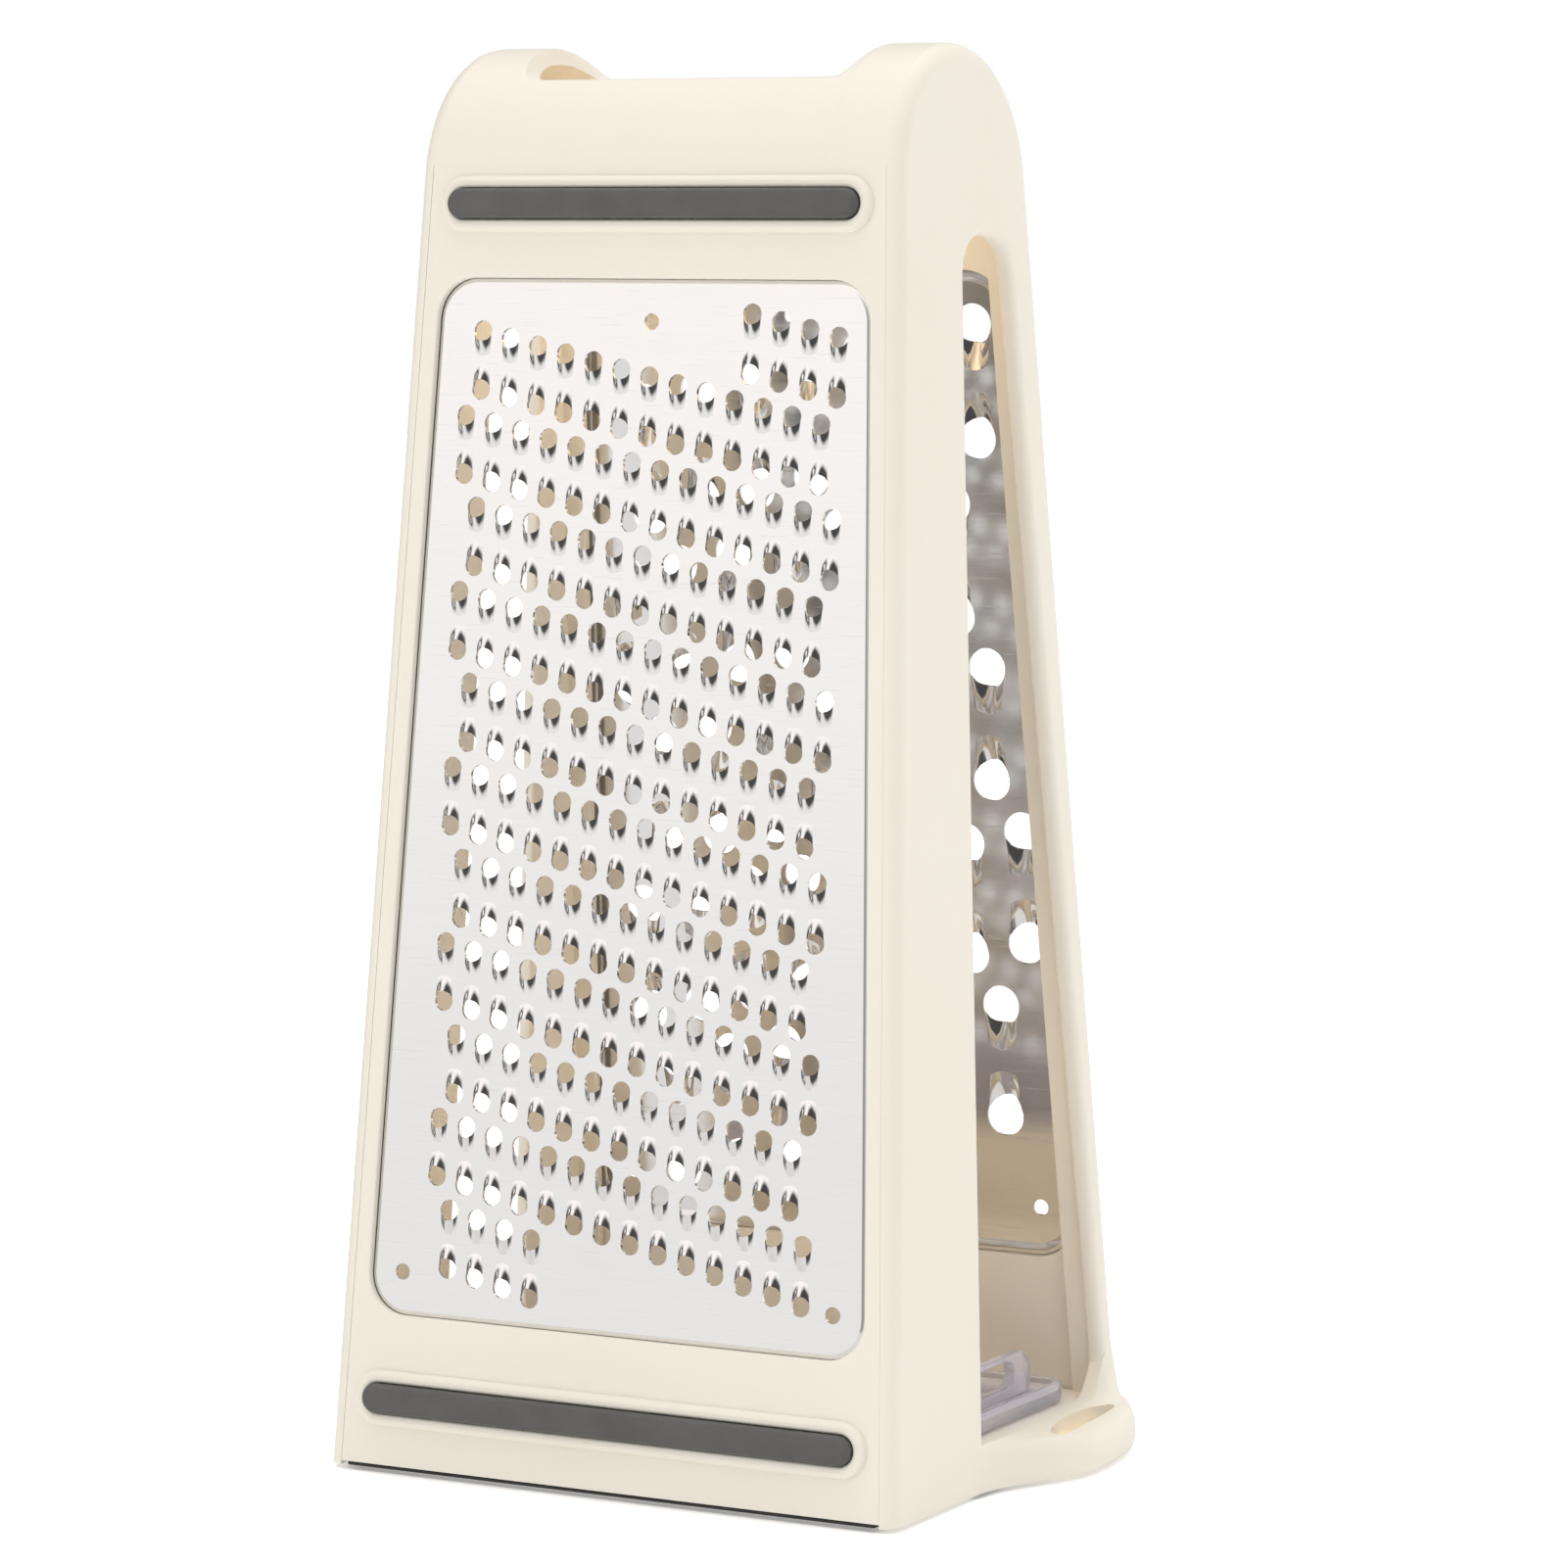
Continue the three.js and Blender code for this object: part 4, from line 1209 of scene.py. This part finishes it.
def grating_plate(node, end, scale, width, shift=(0, 0)):
    bottom = WINDOW_BOTTOMS[end]
    tooth = tongue_object(node + "_tooth", scale, STEEL)
    cut = outline_object(node + "_cut", [cut_outline(scale)])
    rim = rim_object(bottom)
    rows = math.ceil((WINDOW_TOP - bottom) / ROW_GAP / scale) + 1
    columns = math.floor(width / 2 / PITCH / scale)
    values = {
        "Pitch": PITCH * scale, "Row gap": ROW_GAP * scale, "Pair gap": PAIR_GAP * scale,
        "Tilt": ROW_TILT, "Field": width + 0.001,
        "Reach": (PAIR_GAP / 2 + HOLE_RADIUS) * scale + FIELD_MARGIN,
        "Low": bottom, "High": WINDOW_TOP, "Thickness": PLATE_THICKNESS,
        "Side": inner_half_width(PAIR_GAP / 2 * scale) - SIDE_BAND - HOLE_RADIUS * scale - FIELD_EDGE,
        "Taper": TAPER * math.cos(LEAN),
        "Middle x": shift[0], "Middle s": PATTERN_MIDDLE + shift[1],
        "Columns": 2 * columns + 2, "Rows": 2 * rows,
        "Tooth": tooth, "Cut": cut, "Outline": rim, "Finish": STEEL,
    }  # fmt: skip
    piece = bpy.data.objects.new(node + "_dressed", bpy.data.meshes.new(node + "_start"))
    SCENE.collection.objects.link(piece)
    modifier = piece.modifiers.new("toothed plate", "NODES")
    modifier.node_group = PLATE_TREE
    for item in PLATE_TREE.interface.items_tree:
        if item.in_out == "INPUT":
            modifier[item.identifier] = values[item.name]
    shape = bmesh.new()
    shape.from_mesh(plain_mesh(piece))
    rim_band = bmesh.new()
    bent_rim(rim_band, bottom)
    bmesh.ops.remove_doubles(rim_band, verts=rim_band.verts, dist=0.001)
    band = new_object("rim band", rim_band, STEEL, smooth=60)
    shape.from_mesh(band.data)
    shape.normal_update()
    # Faces turned inwards are marked for the steel's painted shade.
    back = shape.faces.layers.float.new("back")
    for face in shape.faces:
        face[back] = float(face.normal.z < PAINTED_SHADE_SLOPE)
    mesh = piece.data
    shape.to_mesh(mesh)
    shape.free()
    mesh.transform(FACES[end] @ Matrix.Translation((0, 0, -PLATE_RECESS)))
    for helper in (tooth, cut, rim, band):
        bpy.data.objects.remove(helper)
    stand_in(piece, node)


grating_plate("fine_plate", "front", 1, FINE_FIELD_WIDTH)
grating_plate("coarse_plate", "rear", COARSE_SCALE, COARSE_FIELD_WIDTH, COARSE_SHIFT)

# %% [markdown]
# ## Floor, light and camera
#
# The grater stands on a plain pale floor in a bright studio. Polished steel only shows its shape when it
# has something dark to reflect, so the sky has bright screens in front and behind and a bright ceiling,
# and is dark between them. The camera itself sees a plain white sky. For the same reason the floor isn't
# mirrored in the steel, apart from a pale grey card round the grater's foot.


# %% Floor and card
def floor_disc(name, radius, height, grey, glow):
    shape = bmesh.new()
    bmesh.ops.create_circle(shape, cap_ends=True, segments=64, radius=radius)
    material, tree, shader, place = new_finish(name, Specular_IOR_Level=0.1, Emission_Strength=glow)
    shader.inputs["Emission Color"].default_value = (1, 1, 1, 1)
    clouds = noise(tree, place, 3)
    colour = two_tone(tree, clouds, [grey - 0.01] * 3, [grey + 0.01] * 3)
    connect(tree, shader, colour, 0.8 + clouds * 0.05, clouds, 0.01, 0.0001)
    disc = new_object(name, shape, material)
    disc.location.z = height
    return disc


floor = floor_disc("pale floor", radius=4, height=-0.0008, grey=0.9, glow=0.27)
floor.visible_glossy = False
card = floor_disc("grey card", radius=0.17, height=-0.0004, grey=0.68, glow=0)
card.visible_camera = card.visible_diffuse = card.visible_shadow = False
print("floor and card made")


# %% Sky
SCREEN_TURN = math.radians(-29)
SCREEN_HALF = math.radians(16)
SCREEN_SOFT = math.radians(58)
SCREEN_LIGHT = 0.87
SCREEN_TOP_EXTRA = 0.18
SKY_DARK = 0.07
CEILING = 1.8
LOW_TONE = (1, 0.99, 0.98)
HIGH_TONE = (1, 0.965, 0.945)


def soft_range(tree, value, low, high):
    """Runs smoothly from 0 at `low` to 1 at `high`."""
    sockets = {"Value": value, "From Min": low, "From Max": high}
    return Wire.make(tree, "ShaderNodeMapRange", {"interpolation_type": "SMOOTHSTEP"}, sockets)


def studio_sky():
    world = bpy.data.worlds.new("studio")
    SCENE.world = world
    world.use_nodes = True
    tree = world.node_tree
    where = Wire.make(tree, "ShaderNodeTexCoord", output="Generated")
    x, y, z = (Wire.make(tree, "ShaderNodeSeparateXYZ", None, {0: where}, k) for k in range(3))
    level = (x * x + y * y).math("SQRT")
    toward = (x * math.sin(SCREEN_TURN) - y * math.cos(SCREEN_TURN)) / level
    screens = soft_range(tree, toward.math("ABSOLUTE"), math.cos(SCREEN_SOFT), math.cos(SCREEN_HALF))
    screens = screens * (SCREEN_LIGHT + SCREEN_TOP_EXTRA * soft_range(tree, z, -0.03, 0.16))
    ceiling = soft_range(tree, z, 0.6, 0.85) * CEILING
    light = screens.math("MAXIMUM", ceiling).math("MAXIMUM", SKY_DARK)
    straight = Wire.make(tree, "ShaderNodeLightPath", output="Is Camera Ray")
    seen = light + straight * (1.0 - light)
    back = tree.nodes["Background"]
    tone = two_tone(tree, soft_range(tree, z, 0, 0.15), LOW_TONE, HIGH_TONE)
    sockets = {"Factor": straight, 6: tone, 7: (1, 1, 1, 1)}
    lit = Wire.make(tree, "ShaderNodeMix", {"data_type": "RGBA"}, sockets, 2)
    tree.links.new(lit.socket, back.inputs["Color"])
    tree.links.new(seen.socket, back.inputs["Strength"])


studio_sky()
print("sky made")


# %% Lights
def new_light(name, kind, place, power):
    lamp = bpy.data.lights.new(name, kind)
    lamp.energy = power
    light = bpy.data.objects.new(name, lamp)
    SCENE.collection.objects.link(light)
    light.location = place
    light.visible_glossy = False
    return light


def soft_light(name, place, aim, size, power):
    light = new_light(name, "AREA", place, power)
    light.data.shape, light.data.size = "SQUARE", size
    light.rotation_euler = (Vector(aim) - Vector(place)).to_track_quat("-Z", "Y").to_euler()


MIDDLE = (0, 0, 0.12)
soft_light("right fill", (1.0, -0.35, 0.85), MIDDLE, size=0.8, power=2.3)
soft_light("front fill", (-0.45, -1.1, 0.9), MIDDLE, size=0.9, power=0.3)
soft_light("rear fill", (-0.4, 1.2, 0.9), MIDDLE, size=0.9, power=4)
WARM = (1, 0.72, 0.44)
SLOT_LIGHTS = ((0.0528, 0.0165, 0.003), (0.0518, 0.0245, 0.003))


def inside_light(place, power, size=0.012):
    """A faint warm lamp for the light that thin plastic lets through."""
    light = new_light("inside glow", "POINT", place, power)
    light.data.color, light.data.shadow_soft_size = WARM, size
    light.visible_camera = light.visible_transmission = False


for height in (0.06, 0.2):
    inside_light((-0.005, 0, height), power=0.03)
for place in SLOT_LIGHTS:
    inside_light(place, power=0.00017, size=0.0008)
print("soft lights made")

# %% [markdown]
# The camera was worked out from the picture's own perspective: it stands about a metre away, 29 degrees
# to the right of the fine plate, looks down by 6 degrees, and has a long lens. Its frame is square.

# %% Camera
YAW = math.radians(29)
PITCH_DOWN = math.radians(5.936)
ROLL = math.radians(0.213)
LENS = 135.70
SENSOR = 36
CAMERA_PLACE = (0.4918, -0.8758, 0.2202)


def photo_camera():
    ahead = Vector((-math.sin(YAW) * math.cos(PITCH_DOWN), math.cos(YAW) * math.cos(PITCH_DOWN),
                    -math.sin(PITCH_DOWN)))  # fmt: skip
    right = Vector((math.cos(YAW), math.sin(YAW), 0))
    down = ahead.cross(right)
    across = math.cos(ROLL) * right + math.sin(ROLL) * down
    below = math.cos(ROLL) * down - math.sin(ROLL) * right
    data = bpy.data.cameras.new("camera")
    data.lens = LENS
    data.sensor_width = SENSOR
    data.clip_start, data.clip_end = 0.01, 50
    camera = bpy.data.objects.new("camera", data)
    SCENE.collection.objects.link(camera)
    turn = Matrix((across, -below, -ahead)).transposed()
    camera.matrix_world = Matrix.Translation(CAMERA_PLACE) @ turn.to_4x4()
    SCENE.camera = camera


photo_camera()
SCENE.view_settings.view_transform = "Standard"
print("camera set")
